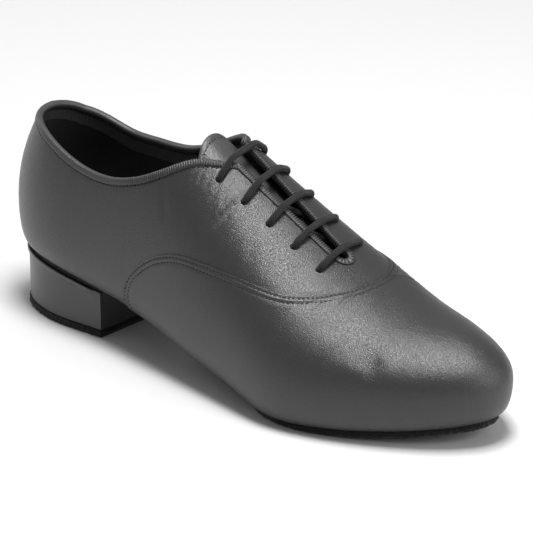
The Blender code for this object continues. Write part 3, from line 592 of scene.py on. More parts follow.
def crease_lift(points):
    """How far the creases raise or lower the leather at these points of the form."""
    surface = points.reshape(-1, 3)
    share = np.linspace(0, 1, CREASE_STEPS)
    lift = np.zeros(points.shape[:-1])
    for crease in CREASES:
        start, end = np.array(crease.start), np.array(crease.end)
        chord = start + (end - start) * share[:, None]
        nearest = [np.linalg.norm(surface - point, axis=1).argmin() for point in chord]
        near = np.linalg.norm(points[..., None, :] - surface[nearest], axis=-1)
        reached = CREASE_FADE + (1 - 2 * CREASE_FADE) * share[near.argmin(-1)]
        fade = np.sin(math.pi * reached) ** CREASE_BLUNT
        apart = near.min(-1) / crease.width
        ridges = CREASE_RIDGE * np.exp(-((apart - CREASE_RIDGE_APART) ** 2))
        lift -= crease.depth * fade * (np.exp(-(apart**2)) - ridges)
    return lift


VAMP_EDGE_POINTS = 420
VAMP_FOOT_POINTS = 30


def vamp_edge():
    """Places and levels along the vamp's edge on one side, from the bottom line to the ridge."""
    foot = np.full(VAMP_FOOT_POINTS - 1, VAMP_START)
    foot_levels = np.linspace(-1, VAMP_SEAM[0].level, VAMP_FOOT_POINTS)[:-1]
    places = np.linspace(VAMP_START, VAMP_CLOSE, VAMP_EDGE_POINTS)
    return np.concatenate([foot, places]), np.concatenate([foot_levels, seam_level(places)])


# The rows of the mesh beside the vamp's edge, in metres below it and above it.
SEAM_BELOW = (0.00012, 0.00035, 0.0009, 0.0014, 0.0019, 0.0026, 0.0033, 0.0038, 0.0043, 0.0052, 0.0070)
SEAM_ABOVE = (0.0, 0.0007, 0.0018)
SEAM_BEHIND = 0.0120
SEAM_AHEAD = 0.0056
SEAM_PAIR = 0.0001
FRONT_ROW = 0.72
FRONT_EASE = 0.03
MARGIN_LEVELS = (-2.0, -1.5, -1.2, -1.05, -1.0, -0.985)
LOWER_START = -0.96
LEVEL_ROOM = 0.05
LOWER_ROWS = 17
MIDDLE_ROWS = 33
BAND_ROWS = 7
BAND_DEPTH = 0.0105
OVER_BAND = 2
RIB_STEP = 0.0016
FINE_STEP = 0.0010
FINE_BEHIND = 0.024
FINE_AHEAD = 0.022
RIB_CLEAR = 0.35
# How the leather lies beside the vamp's edge: the cut edge, the troughs of the stitches, the soft
# rise between them, and the hollow in the quarter just above.
CUT_START = 0.55
CUT_WIDTH = 0.0005
STITCH_ROWS = (0.0014, 0.0038)
STITCH_SINK = 0.00028
TROUGH_WIDTH = 0.0005
PUFF = 0.00016
PUFF_WIDTH = 0.0006
HOLLOW = 0.0001
HOLLOW_WIDTH = 0.0022


def upper_places():
    """The ribs of the fine mesh: closer beside the throat's top, a pair at each end of the seam."""
    fine_start = place_of_spine(THROAT_TOP_X - FINE_BEHIND)
    fine_end = place_of_spine(THROAT_TOP_X + FINE_AHEAD)
    round_start = place_of_spine(THROAT_END_X - THROAT_END_GAP)
    stops = [
        (0.0, fine_start, RIB_STEP),
        (fine_start, fine_end, FINE_STEP),
        (fine_end, round_start, RIB_STEP),
        (round_start, THROAT_END_PLACE, RIB_STEP / 4),
        (THROAT_END_PLACE, 1.0, RIB_STEP),
    ]
    places = []
    for start, end, step in stops:
        count = max(round((end - start) * PERIMETER / step), 2)
        places += list(np.linspace(start, end, count + 1)[:-1])
    seam = [VAMP_START, VAMP_CLOSE]
    seam += [place - SEAM_PAIR / PERIMETER for place in seam]
    close = [VAMP_CLOSE - SEAM_BEHIND / PERIMETER, VAMP_CLOSE + SEAM_AHEAD / PERIMETER]
    fine = np.arange(*close, FINE_STEP / 2.5 / PERIMETER)
    seam += [place for place in fine if abs(place - VAMP_CLOSE) > 2 * SEAM_PAIR / PERIMETER]
    clear = RIB_CLEAR * FINE_STEP / PERIMETER
    kept = [place for place in places if min(abs(place - other) for other in seam) > clear]
    return np.array(sorted([*kept, *seam, THROAT_END_PLACE, 1.0]))


def upper_levels(side, places):
    """The levels of the fine mesh up each rib, a row for each rib."""
    top = top_level(side, places)
    relaxed = FRONT_ROW + (1 - FRONT_ROW) * np.exp((VAMP_CLOSE - places) / FRONT_EASE)
    seam = np.where(places >= VAMP_CLOSE, relaxed, seam_level(places))
    climb = np.linalg.norm(form_slopes(side, places, seam)[1], axis=-1)
    band_climb = np.linalg.norm(form_slopes(side, places, top - LEVEL_ROOM)[1], axis=-1)
    above = [np.minimum(seam + up / climb, top) for up in SEAM_ABOVE]
    band = np.maximum(top - BAND_DEPTH / band_climb, (above[-1] + top) / 2)
    margin = [np.full(len(places), level) for level in MARGIN_LEVELS]
    low = np.maximum(seam - SEAM_BELOW[-1] / climb, LOWER_START + LEVEL_ROOM)
    spread = np.linspace(0, 1, LOWER_ROWS)[:, None]
    lower = list(LOWER_START + (low - LOWER_START) * spread)
    beside = [seam - below / climb for below in reversed(SEAM_BELOW[:-1])]
    last = above[-1]
    middle = [last + (band - last) * share for share in np.linspace(0, 1, MIDDLE_ROWS)[1:]]
    finish = [band + (top - band) * share for share in np.linspace(0, 1, BAND_ROWS + 1)[1:]]
    return np.stack([*margin, *lower, *beside, *above, *middle, *finish], -1)


places = upper_places()
upper_mesh = bmesh.new()
for side in (OUTER, INNER):
    edge_line = form_points(side, *vamp_edge())
    edge_tree = kdtree.KDTree(len(edge_line))
    for i, point in enumerate(edge_line):
        edge_tree.insert(point, i)
    edge_tree.balance()
    levels = upper_levels(side, places)
    grid_places = np.repeat(places[:, None], levels.shape[1], 1)
    points = form_points(side, grid_places, levels)
    normals = form_normals(side, grid_places, levels)
    apart = np.array([[edge_tree.find(point)[2] for point in row] for row in points])
    seam = seam_level(grid_places)
    vamp = (grid_places >= VAMP_START - 1e-9) & (levels > -1.9)
    vamp &= (grid_places >= VAMP_CLOSE - 1e-9) | (levels < seam - 1e-9)
    raised = VAMP_STEP * np.clip(CUT_START + apart / CUT_WIDTH, 0, 1)
    for row in STITCH_ROWS:
        raised = raised - STITCH_SINK * np.exp(-(((apart - row) / TROUGH_WIDTH) ** 2))
    raised = raised + PUFF * np.exp(-(((apart - sum(STITCH_ROWS) / 2) / PUFF_WIDTH) ** 2))
    hollow = -HOLLOW * np.exp(-((apart / HOLLOW_WIDTH) ** 2))
    lift = np.where(vamp, raised, hollow)
    lift = np.where(levels < -1.0, np.maximum(lift, 0) * np.clip(levels + 2, 0, 1), lift)
    if side == OUTER:
        lift = lift + crease_lift(points)
    grid = moved_grid(points + normals * lift[..., None])
    uv = grid.loops.layers.uv[0]
    for face in grid.faces:
        if min(loop[uv].uv.x for loop in face.loops) > 1 - (BAND_ROWS + 0.5) / levels.shape[1]:
            face.material_index = OVER_BAND
    add_to(upper_mesh, grid)
join_doubles(upper_mesh)
bmesh.ops.recalc_face_normals(upper_mesh, faces=upper_mesh.faces)


def feed(tree, node, inputs):
    """Set a node's inputs to values, or link them to the outputs of other nodes."""
    for name, value in inputs.items():
        if isinstance(value, bpy.types.NodeSocket):
            tree.links.new(value, node.inputs[name])
        else:
            node.inputs[name].default_value = value
    return node


def new_node(tree, kind, inputs):
    return feed(tree, tree.nodes.new("ShaderNode" + kind), inputs)


def new_math(tree, operation, *values):
    """The output of a Math node that has these values or sockets as its inputs."""
    node = tree.nodes.new("ShaderNodeMath")
    node.operation = operation
    return feed(tree, node, dict(enumerate(values))).outputs["Value"]


def new_tone(tree, share, first, last):
    """A colour that goes from the first to the last with the share."""
    node = tree.nodes.new("ShaderNodeMix")
    node.data_type = "RGBA"
    return feed(tree, node, {"Factor": share, "A": (*first, 1), "B": (*last, 1)}).outputs["Result"]


def raise_surface(tree, surface, height, depth):
    """Raise and lower a finish by a node's output, up to this depth."""
    bump = new_node(tree, "Bump", {"Distance": depth, "Height": height})
    feed(tree, surface, {"Normal": bump.outputs["Normal"]})


LEATHER_SHINE = 0.62
PORE_SCALE = 0.8
PEBBLE_SHARE = 0.9
PATCH_SCALE = 55.0


def leather_finish(name, color, roughness, grain_scale, grain_depth, patch=0.05):
    """Satin leather: a fine pebble grain, wider pores, and a gloss that varies a little."""
    material, tree, surface = new_finish(name, color, roughness)
    where = tree.nodes.new("ShaderNodeTexCoord").outputs["Object"]
    pebbles = new_node(tree, "TexVoronoi", {"Vector": where, "Scale": grain_scale})
    pore_inputs = {"Vector": where, "Scale": grain_scale * PORE_SCALE, "Detail": 2.0}
    pores = new_node(tree, "TexNoise", pore_inputs)
    grain = new_math(
        tree, "MULTIPLY_ADD", pebbles.outputs["Distance"], PEBBLE_SHARE, pores.outputs["Fac"]
    )
    raise_surface(tree, surface, grain, grain_depth)
    patches = new_node(tree, "TexNoise", {"Vector": where, "Scale": PATCH_SCALE, "Detail": 3.0})
    gloss_inputs = {"To Min": roughness - patch, "To Max": roughness + patch}
    gloss = new_node(tree, "MapRange", {"Value": patches.outputs["Fac"], **gloss_inputs})
    surface_inputs = {"Specular IOR Level": LEATHER_SHINE, "Roughness": gloss.outputs["Result"]}
    feed(tree, surface, surface_inputs)
    return material


SUEDE_ROUGHNESS = 0.95
SUEDE_SHINE = 0.12
NAP_DARK = 0.55
NAP_LIGHT = 1.6


def suede_finish(name, color, nap_scale, nap_depth, sheen):
    """Napped leather: short fibres that scatter light, uneven in tone."""
    material, tree, surface = new_finish(name, color, SUEDE_ROUGHNESS)
    where = tree.nodes.new("ShaderNodeTexCoord").outputs["Object"]
    nap_inputs = {"Vector": where, "Scale": nap_scale, "Detail": 6.0, "Roughness": 0.7}
    nap = new_node(tree, "TexNoise", nap_inputs).outputs["Fac"]
    raise_surface(tree, surface, nap, nap_depth)
    dark, light = ([part * share for part in color] for share in (NAP_DARK, NAP_LIGHT))
    feed(tree, surface, {"Base Color": new_tone(tree, nap, dark, light)})
    feed(tree, surface, {"Specular IOR Level": SUEDE_SHINE})
    feed(tree, surface, {"Sheen Weight": sheen, "Sheen Roughness": 0.5})
    return material


UPPER_COLOR = (0.020, 0.020, 0.0205)
LINING_COLOR = (0.011, 0.011, 0.0115)
BAND_COLOR = (0.055, 0.055, 0.056)
upper_leather = leather_finish(
    "black nappa", UPPER_COLOR, roughness=0.34, grain_scale=2300.0, grain_depth=0.00012
)
lining_suede = suede_finish(
    "lining suede", LINING_COLOR, nap_scale=900.0, nap_depth=0.0004, sheen=0.10
)
band_leather = leather_finish(
    "lining band", BAND_COLOR, roughness=0.50, grain_scale=1100.0, grain_depth=0.00030, patch=0.08
)

# The wall's inside takes the finish after the one that is outside it, so that the leather OVER_BAND
# has the lining's band behind it.
upper_finishes = (upper_leather, lining_suede, upper_leather, band_leather)
upper = new_piece("upper_leather", upper_mesh, *upper_finishes)
wall = upper.modifiers.new("wall", "SOLIDIFY")
wall.thickness = UPPER_WALL
wall.offset = -1
wall.use_quality_normals = True
wall.material_offset = 1
wall.material_offset_rim = 0

eyelet_mesh = bmesh.new()
for row in range(EYELET_ROWS):
    for side in (OUTER, INNER):
        outside = over_row(row, side, ROW_HALVES[row], 2 * UPPER_WALL)
        inside = over_row(row, side, ROW_HALVES[row], -3 * UPPER_WALL)
        turn = (inside - outside).to_track_quat("Z", "Y").to_matrix().to_4x4()
        bmesh.ops.create_cone(
            eyelet_mesh,
            cap_ends=True,
            segments=EYELET_SIDES,
            radius1=EYELET_RADIUS,
            radius2=EYELET_RADIUS,
            depth=(inside - outside).length,
            matrix=Matrix.Translation((inside + outside) / 2) @ turn,
        )
punch = new_piece("eyelet_punch", eyelet_mesh)
punched = upper.modifiers.new("eyelets", "BOOLEAN")
punched.operation = "DIFFERENCE"
punched.solver = "EXACT"
punched.object = punch


def settle(piece):
    """Turn a piece with its modifiers into the mesh that it shows."""
    graph = bpy.context.evaluated_depsgraph_get()
    data = bpy.data.meshes.new_from_object(piece.evaluated_get(graph))
    piece.modifiers.clear()
    piece.data = data


settle(upper)
bpy.data.objects.remove(punch)
upper.data.set_sharp_from_angle(angle=math.radians(50))
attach(upper, "root")
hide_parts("upper")

# The binding: a folded leather strip over the whole edge of collar and facings, sewn down in one
# go. It is finely ribbed like a cord on the facings and the collar's front, and smooth behind; the
# grooves between the ribs are darkened with painted shade.
BINDING_DEPTH = 0.0028
BINDING_PITCH = 0.00122
RIB_HEIGHT = 0.00022
RIB_FADE_START = 0.036
RIB_FADE_END = 0.064
RIB_LEAST = 0.10
POINTS_PER_RIB = 4
TOP_EDGE_POINTS = 1800
TOP_EDGE_EASE = 2.5
BINDING_COLOR = (0.022, 0.022, 0.0225)
RIB_COLOR = (0.034, 0.034, 0.0345)
# The near-black colour of the grooves is painted shade between the binding's ribs.
GROOVE_SHADE_COLOR = (0.002, 0.002, 0.002)
BindingSpot = namedtuple("BindingSpot", "down lift rise rib")
# Down the wall is a share of BINDING_DEPTH; lift is off the upper's outer face and rise is above
# its edge, in metres. Rib is the share of the ribs' height, and from INSIDE_LIFT inwards the ribs
# stand out on the wall's other face.
INSIDE_LIFT = -0.0006
BINDING_SECTION = [
    BindingSpot(1.00, 0.00005, 0.0, 0.0),
    BindingSpot(1.04, 0.00035, 0.0, 0.5),
    BindingSpot(0.86, 0.00078, 0.0, 1.0),
    BindingSpot(0.55, 0.00095, 0.0, 1.0),
    BindingSpot(0.22, 0.00092, 0.0, 1.0),
    BindingSpot(0.00, 0.00078, 0.00015, 1.0),
    BindingSpot(0.00, 0.00040, 0.00060, 1.0),
    BindingSpot(0.00, -0.00060, 0.00078, 1.0),
    BindingSpot(0.00, -0.00170, 0.00060, 1.0),
    BindingSpot(0.00, -0.00225, 0.00010, 0.6),
    BindingSpot(0.35, -0.00248, 0.0, 0.3),
    BindingSpot(0.90, -0.00240, 0.0, 0.0),
    BindingSpot(1.00, -0.00190, 0.0, 0.0),
    BindingSpot(0.00, -0.00165, 0.00010, 0.0),
    BindingSpot(0.00, 0.00005, 0.00010, 0.0),
]


def dot(a, b):
    return (a * b).sum(-1)


def walk(side, place, level, way, distance):
    """The place and level reached by going this far along the form in this direction."""
    forward, upward = form_slopes(side, place, level)
    ff, fu, uu = dot(forward, forward), dot(forward, upward), dot(upward, upward)
    a, b = dot(forward, way) * distance, dot(upward, way) * distance
    size = ff * uu - fu * fu
    return place + (a * uu - b * fu) / size, level + (b * ff - a * fu) / size


def even_line(side, place, level, step):
    """The same line with its points an even step apart, and how far along it each one is."""
    run = run_along(form_points(side, place, level))
    even = np.linspace(0, run[-1], round(run[-1] / step))
    signed, level = (np.interp(even, run, row) for row in (side * place, level))
    return np.where(signed < 0, OUTER, INNER), abs(signed), level, even


def line_frames(side, place, level):
    """Points of a line on the form, the way along it, the way out, and the way beside it."""
    points = form_points(side, place, level)
    along = np.gradient(points, axis=0)
    out = form_normals(side, place, level)
    along = unit(along - out * (along * out).sum(-1, keepdims=True))
    return points, along, out, np.cross(out, along)


edge_share = np.linspace(0, 1, TOP_EDGE_POINTS)
edge_place = THROAT_END_PLACE * (1 - (1 - edge_share) ** TOP_EDGE_EASE)
outer_top, inner_top = top_level(OUTER, edge_place), top_level(INNER, edge_place)
loop_side = np.repeat([OUTER, INNER], [TOP_EDGE_POINTS, TOP_EDGE_POINTS - 1])
loop_place = np.concatenate([edge_place[::-1], edge_place[1:]])
loop_level = np.concatenate([outer_top[::-1], inner_top[1:]])
*top_line, top_run = even_line(loop_side, loop_place, loop_level, BINDING_PITCH / POINTS_PER_RIB)
top_side = top_line[0]
top_length = top_run[-1]
edge, _, out, beside = line_frames(*top_line)
# The line runs from the outer side round the heel to the inner one, so that beside it is down.
foot = walk(*top_line, beside, BINDING_DEPTH)
foot_points, foot_out = form_points(top_side, *foot), form_normals(top_side, *foot)
from_corner = np.minimum(top_run, top_length - top_run) - THROAT_TOP_RUN
faded = (from_corner - RIB_FADE_START) / (RIB_FADE_END - RIB_FADE_START)
fade = np.clip(1 - faded, RIB_LEAST, 1)
wave = RIB_HEIGHT * fade * np.cos(2 * math.pi * top_run / BINDING_PITCH)
rings = []
for spot in BINDING_SECTION:
    base = edge + (foot_points - edge) * spot.down
    way = unit(out + (foot_out - out) * spot.down)
    outward = 1 if spot.lift > INSIDE_LIFT else -1
    lift = spot.lift + wave * spot.rib * outward
    rise = spot.rise + wave * spot.rib * (spot.rise > 0)
    rings.append(base + way * lift[:, None] - beside * rise[:, None])
rings.append(rings[0])
binding_mesh = moved_grid(np.stack(rings))
uv = binding_mesh.loops.layers.uv[0]
for face in binding_mesh.faces:
    for loop in face.loops:
        loop[uv].uv.y = np.interp(loop[uv].uv.x * top_length, top_run, fade)
join_doubles(binding_mesh, 1e-6)
bmesh.ops.recalc_face_normals(binding_mesh, faces=binding_mesh.faces)
binding_leather = leather_finish(
    "binding leather", BINDING_COLOR, roughness=0.50, grain_scale=1700.0, grain_depth=0.00010
)
binding_tree = binding_leather.node_tree
binding_uv = binding_tree.nodes.new("ShaderNodeUVMap").outputs["UV"]
along_and_fade = new_node(binding_tree, "SeparateXYZ", {"Vector": binding_uv})
rib_turns = 2 * math.pi * top_length / BINDING_PITCH
rib_turn = new_math(binding_tree, "MULTIPLY", along_and_fade.outputs["X"], rib_turns)
rib_wave = new_math(binding_tree, "COSINE", rib_turn)
# Painted shade: the tone darkens to near black in the grooves between the ribs, less where the ribs fade
# out.
groove_shade_inputs = {"Value": rib_wave, "From Min": -1.0, "To Min": 1.0, "To Max": 0.0}
groove_shade = new_node(binding_tree, "MapRange", groove_shade_inputs).outputs["Result"]
groove_shade_faded = new_math(binding_tree, "MULTIPLY", groove_shade, along_and_fade.outputs["Y"])
rib_tone_and_groove_shade = new_tone(binding_tree, groove_shade_faded, RIB_COLOR, GROOVE_SHADE_COLOR)
feed(binding_tree, binding_tree.nodes["Principled BSDF"], {"Base Color": rib_tone_and_groove_shade})
binding = new_piece("edge_binding", binding_mesh, binding_leather)
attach(binding, "root")
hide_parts("topline_binding")

# The stitches: waxed black thread, in two rows inside the vamp's edge, and in one row under the
# binding. Each stitch is a short bead sunk in the leather's trough.
STITCH_PITCH = 0.00215
STITCH_LENGTH = 0.00140
STITCH_WIDTH = 0.00088
STITCH_RISE = STITCH_WIDTH / 2.4
STITCH_BATCH = 20
COLLAR_ROW = 0.00055
COLLAR_STITCH_LIFT = 0.00002
CORNER_CLEAR = 0.0005
SOLE_JOIN_LEVEL = -0.97
THREAD_COLOR = (0.003, 0.003, 0.003)
thread_finish, thread_tree, thread_surface = new_finish("black thread", THREAD_COLOR, 0.6)
thread_where = thread_tree.nodes.new("ShaderNodeTexCoord").outputs["Object"]
thread_twist = new_node(thread_tree, "TexNoise", {"Vector": thread_where, "Scale": 4000.0})
raise_surface(thread_tree, thread_surface, thread_twist.outputs["Fac"], 0.0001)


def add_stitches(mesh, points, along, out, lift):
    """A row of stitches along these evenly spaced points."""
    size = Matrix.Diagonal((STITCH_LENGTH / 2, STITCH_WIDTH / 2, STITCH_RISE, 1))
    for first in range(0, len(points), STITCH_BATCH):
        batch = bmesh.new()
        for i in range(first, min(first + STITCH_BATCH, len(points))):
            turn = Matrix((along[i], np.cross(out[i], along[i]), out[i])).transposed().to_4x4()
            move = Matrix.Translation(points[i] + out[i] * lift)
            bmesh.ops.create_uvsphere(
                batch, u_segments=6, v_segments=5, radius=1, matrix=move @ turn @ size
            )
        add_to(mesh, batch)


stitch_mesh = bmesh.new()
edge_places, edge_levels = vamp_edge()
above_sole = edge_levels > SOLE_JOIN_LEVEL
edge_places, edge_levels = edge_places[above_sole], edge_levels[above_sole]
for side in (OUTER, INNER):
    edge_line = (np.full(len(edge_places), side), edge_places, edge_levels)
    edge_beside = line_frames(*edge_line)[3]
    for distance in STITCH_ROWS:
        row = walk(*edge_line, edge_beside, side * distance)
        row_line = even_line(edge_line[0], *row, STITCH_PITCH)[:3]
        row_points, row_along, row_out, _ = line_frames(*row_line)
        add_stitches(stitch_mesh, row_points, row_along, row_out, VAMP_STEP - STITCH_SINK)
behind = from_corner > CORNER_CLEAR
collar_row = [row[behind] for row in walk(*top_line, beside, BINDING_DEPTH + COLLAR_ROW)]
row_line = even_line(top_side[behind], *collar_row, STITCH_PITCH)[:3]
row_points, row_along, row_out, _ = line_frames(*row_line)
add_stitches(stitch_mesh, row_points, row_along, row_out, COLLAR_STITCH_LIFT)
lining_points = row_points - row_out * UPPER_WALL
add_stitches(stitch_mesh, lining_points, row_along, -row_out, COLLAR_STITCH_LIFT)
stitches = new_piece("upper_stitches", stitch_mesh, thread_finish)
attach(stitches, "root")

# The tongue: one layer of soft leather under the facings, sewn down at its tail inside the vamp. Its
# rounded top and sides are turned over and sewn as a narrow hem.
LACE_RADIUS = 0.0016
BINDING_THICKNESS = 0.0006
TONGUE_THICKNESS = 0.0015
TONGUE_TOP = 0.0115
TONGUE_ROUND = 0.13
TONGUE_TAIL = 0.0120
TONGUE_TOP_WIDTH = 0.056
TONGUE_TAIL_WIDTH = 0.052
UNDER = UPPER_WALL + BINDING_THICKNESS + 2 * CLEARANCE + LACE_RADIUS
TONGUE_DEPTH = UNDER + LACE_RADIUS + 2 * CLEARANCE
HEM_WIDTH = 0.0034
HEM_RISE = 0.00022
HEM_SOFT = 0.0006
HEM_LOW_END = 0.72
HEM_SINK = 0.0001
HEM_BELOW = 0.0020
HEM_SIDE_POINTS = 40
HEM_TOP_POINTS = 60
EDGE_ROLL = 0.0005
EDGE_ROLL_WIDTH = 0.0008
TONGUE_EASE = 0.92
TONGUE_TOP_EASE = 1.3
TONGUE_COLUMNS = 61
TONGUE_LINES = 70
TONGUE_COLOR = (0.032, 0.032, 0.0325)
TongueRow = namedtuple("TongueRow", "across depth")
# Across from the middle to the edge, the depth of the tongue's top as a share of TONGUE_DEPTH.
TONGUE_ROWS = [
    TongueRow(0.00, 1.00),
    TongueRow(0.45, 1.00),
    TongueRow(0.80, 0.98),
    TongueRow(0.92, 0.76),
    TongueRow(1.00, 0.62),
]
tongue_depth = smooth_curve(*zip(*TONGUE_ROWS))
TONGUE_LENGTH = THROAT_TOP_RUN + TONGUE_TOP + TONGUE_TAIL


def tongue_points(across, share, down):
    """Points of the tongue: across from -1 to 1, share from its tail to its top."""
    rounding = abs(across) ** 3 * TONGUE_ROUND * TONGUE_TOP_WIDTH / TONGUE_LENGTH
    run = -TONGUE_TAIL + TONGUE_LENGTH * share * (1 - share * rounding)
    half = (TONGUE_TAIL_WIDTH + (TONGUE_TOP_WIDTH - TONGUE_TAIL_WIDTH) * share) / 2
    return over_throat(run, across * half, -TONGUE_DEPTH * tongue_depth(abs(across)) - down)


widest_turn = math.pi / 2 * TONGUE_EASE
tongue_turns = np.linspace(-widest_turn, widest_turn, TONGUE_COLUMNS)
tongue_across = np.sin(tongue_turns) / math.sin(widest_turn)
tongue_share = 1 - (1 - np.linspace(0, 1, TONGUE_LINES)) ** TONGUE_TOP_EASE
across_grid, share_grid = np.meshgrid(tongue_across, tongue_share)
from_top = (1 - share_grid) * TONGUE_LENGTH
from_side = (1 - abs(across_grid)) * TONGUE_TOP_WIDTH / 2
from_edge = np.minimum(from_top, from_side)
hem = HEM_RISE * np.clip(from_edge / HEM_SOFT, 0, 1) * (from_edge < HEM_WIDTH + HEM_SOFT)
hem = hem - HEM_RISE * np.exp(-(((from_edge - HEM_WIDTH) / HEM_SOFT) ** 2))
edge_roll = EDGE_ROLL * (1 - np.clip(from_edge / EDGE_ROLL_WIDTH, 0, 1)) ** 2
above = tongue_points(across_grid, share_grid, edge_roll - hem)
below = tongue_points(across_grid, share_grid, TONGUE_THICKNESS - edge_roll)
tongue_mesh = moved_grid(above)
add_to(tongue_mesh, moved_grid(below))
bmesh.ops.bridge_loops(tongue_mesh, edges=[e for e in tongue_mesh.edges if e.is_boundary])
bmesh.ops.recalc_face_normals(tongue_mesh, faces=tongue_mesh.faces)
tongue_leather = leather_finish(
    "tongue leather", TONGUE_COLOR, roughness=0.44, grain_scale=1300.0, grain_depth=0.00012
)
tongue = new_piece("tongue_leather", tongue_mesh, tongue_leather)
tongue.data.set_sharp_from_angle(angle=math.radians(60))
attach(tongue, "root")
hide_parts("tongue")


def spaced(points, run, at):
    """The points of a line at these distances along it."""
    return np.stack([np.interp(at, run, points[:, axis]) for axis in range(3)], -1)


hem_mesh = bmesh.new()
hem_share = 1 - HEM_WIDTH / TONGUE_LENGTH
hem_side = 1 - HEM_WIDTH / (TONGUE_TOP_WIDTH / 2)
hem_climb = np.linspace(HEM_LOW_END, hem_share, HEM_SIDE_POINTS)
hem_cross = np.linspace(-hem_side, hem_side, HEM_TOP_POINTS)
hem_flank = np.full(HEM_SIDE_POINTS, hem_side)
hem_across = np.concatenate([-hem_flank, hem_cross, hem_flank])
hem_up = np.concatenate([hem_climb, np.full(HEM_TOP_POINTS, hem_share), hem_climb[::-1]])
hem_line = tongue_points(hem_across, hem_up, HEM_SINK)
hem_below = tongue_points(hem_across, hem_up, HEM_BELOW)
hem_run = run_along(hem_line)
hem_even = np.arange(STITCH_PITCH / 2, hem_run[-1], STITCH_PITCH)
hem_points = spaced(hem_line, hem_run, hem_even)
hem_along = unit(np.gradient(hem_points, axis=0))
hem_out = unit(hem_points - spaced(hem_below, hem_run, hem_even))
hem_out = unit(hem_out - hem_along * (hem_out * hem_along).sum(-1, keepdims=True))
add_stitches(hem_mesh, hem_points, hem_along, hem_out, 0.0)
hem_stitches = new_piece("tongue_stitches", hem_mesh, thread_finish)
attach(hem_stitches, "root")

# The lace: one round woven cotton cord through all ten eyelets in five straight bars, its ends
# tucked in under the top rows. The shoe holds it all the way.
TURN = 0.0018
TURN_CORNER = TURN * (1 - math.sqrt(0.5))
STRAND_BOW = 0.0042
LACE_STEP = 0.0007
LACE_SIDES = 14
PLAIT_TURN = 0.7
PLAIT_SCALE = 3.2
LACE_COLOR = (0.013, 0.013, 0.0135)
LaceBar = namedtuple("LaceBar", "row start end")
LACE_BARS = [
    LaceBar(1, INNER, OUTER),
    LaceBar(3, INNER, OUTER),
    LaceBar(4, OUTER, INNER),
    LaceBar(2, OUTER, INNER),
    LaceBar(0, INNER, OUTER),
]


def bar_points(bar):
    """The lace up through one hole, straight over to the other, and down through it."""
    hole = ROW_HALVES[bar.row]
    binding_half = throat_half(np.interp(ROW_RUNS[bar.row], throat_run, throat_x))
    arch = CLEARANCE + BINDING_THICKNESS + CLEARANCE + LACE_RADIUS
    half = [
        (hole, -UPPER_WALL),
        (hole, 0.0),
        (hole - TURN_CORNER, TURN - TURN_CORNER),
        (hole - TURN, TURN),
        (binding_half + BINDING_DEPTH, arch),
        (binding_half, arch),
    ]
    points = [over_row(bar.row, bar.start, *spot) for spot in half]
    return points + [over_row(bar.row, bar.end, *spot) for spot in reversed(half)]


def strand_points(start_row, start_side, end_row, end_side):
    """The lace from one hole to another, between the facings and the tongue."""
    ends = [
        (ROW_RUNS[row] + EYELET_SKEW * side, side * ROW_HALVES[row])
        for row, side in ((start_row, start_side), (end_row, end_side))
    ]
    length = math.hypot(ends[1][0] - ends[0][0], ends[1][1] - ends[0][1])
    bow = STRAND_BOW if start_side == end_side and abs(end_row - start_row) > 1 else 0.0
    near, far = TURN_CORNER / length, TURN / length
    points = []
    for share in (near, far, 0.25, 0.5, 0.75, 1 - far, 1 - near):
        run = ends[0][0] + (ends[1][0] - ends[0][0]) * share
        across = ends[0][1] + (ends[1][1] - ends[0][1]) * share
        across -= start_side * bow * math.sin(math.pi * share)
        end = min(share, 1 - share) * length
        lift = -UNDER if end > TURN_CORNER * 1.01 else -UNDER + TURN_CORNER
        points.append(Vector(over_throat(run, across, lift)))
    return points


def lace_end(row, side):
    """The end of the lace, under the hole that it comes from."""
    return over_row(row, side, ROW_HALVES[row], -UNDER)


lace_route = [lace_end(LACE_BARS[0].row, LACE_BARS[0].start)]
for bar, after in zip(LACE_BARS, [*LACE_BARS[1:], None]):
    lace_route += bar_points(bar)
    if after:
        lace_route += strand_points(bar.row, bar.end, after.row, after.start)
lace_route.append(lace_end(LACE_BARS[-1].row, LACE_BARS[-1].end))
# The lace's points are spaced evenly, and then its corners are softened.
lace_line = np.array(lace_route)
for _ in range(2):
    lace_run = run_along(lace_line)
    even = np.linspace(0, lace_run[-1], round(lace_run[-1] / LACE_STEP))
    lace_line = spaced(lace_line, lace_run, even)
for _ in range(3):
    lace_line[1:-1] = lace_line[1:-1] * 0.5 + (lace_line[2:] + lace_line[:-2]) * 0.25
lace_way = unit(np.gradient(lace_line, axis=0))
lace_up = np.zeros_like(lace_way)
start = Vector(lace_way[0]).orthogonal().normalized()
for i, way in enumerate(lace_way):
    start = (start - Vector(way) * start.dot(Vector(way))).normalized()
    lace_up[i] = start
lace_beside = np.cross(lace_way, lace_up)
around = np.linspace(0, 2 * math.pi, LACE_SIDES + 1)
rings = [
    lace_line + LACE_RADIUS * (lace_up * math.cos(turn) + lace_beside * math.sin(turn))
    for turn in around
]
lace_mesh = moved_grid(np.stack(rings))
uv = lace_mesh.loops.layers.uv[0]
for face in lace_mesh.faces:
    for loop in face.loops:
        loop[uv].uv.x *= even[-1] / (2 * math.pi * LACE_RADIUS)
join_doubles(lace_mesh, 1e-6)
bmesh.ops.holes_fill(lace_mesh, edges=[e for e in lace_mesh.edges if e.is_boundary])
bmesh.ops.recalc_face_normals(lace_mesh, faces=lace_mesh.faces)
lace_finish, lace_tree, lace_surface = new_finish("woven lace", LACE_COLOR, 0.85)
feed(lace_tree, lace_surface, {"Specular IOR Level": 0.12, "Sheen Weight": 0.12})
lace_uv = lace_tree.nodes.new("ShaderNodeUVMap").outputs["UV"]
plaits = []
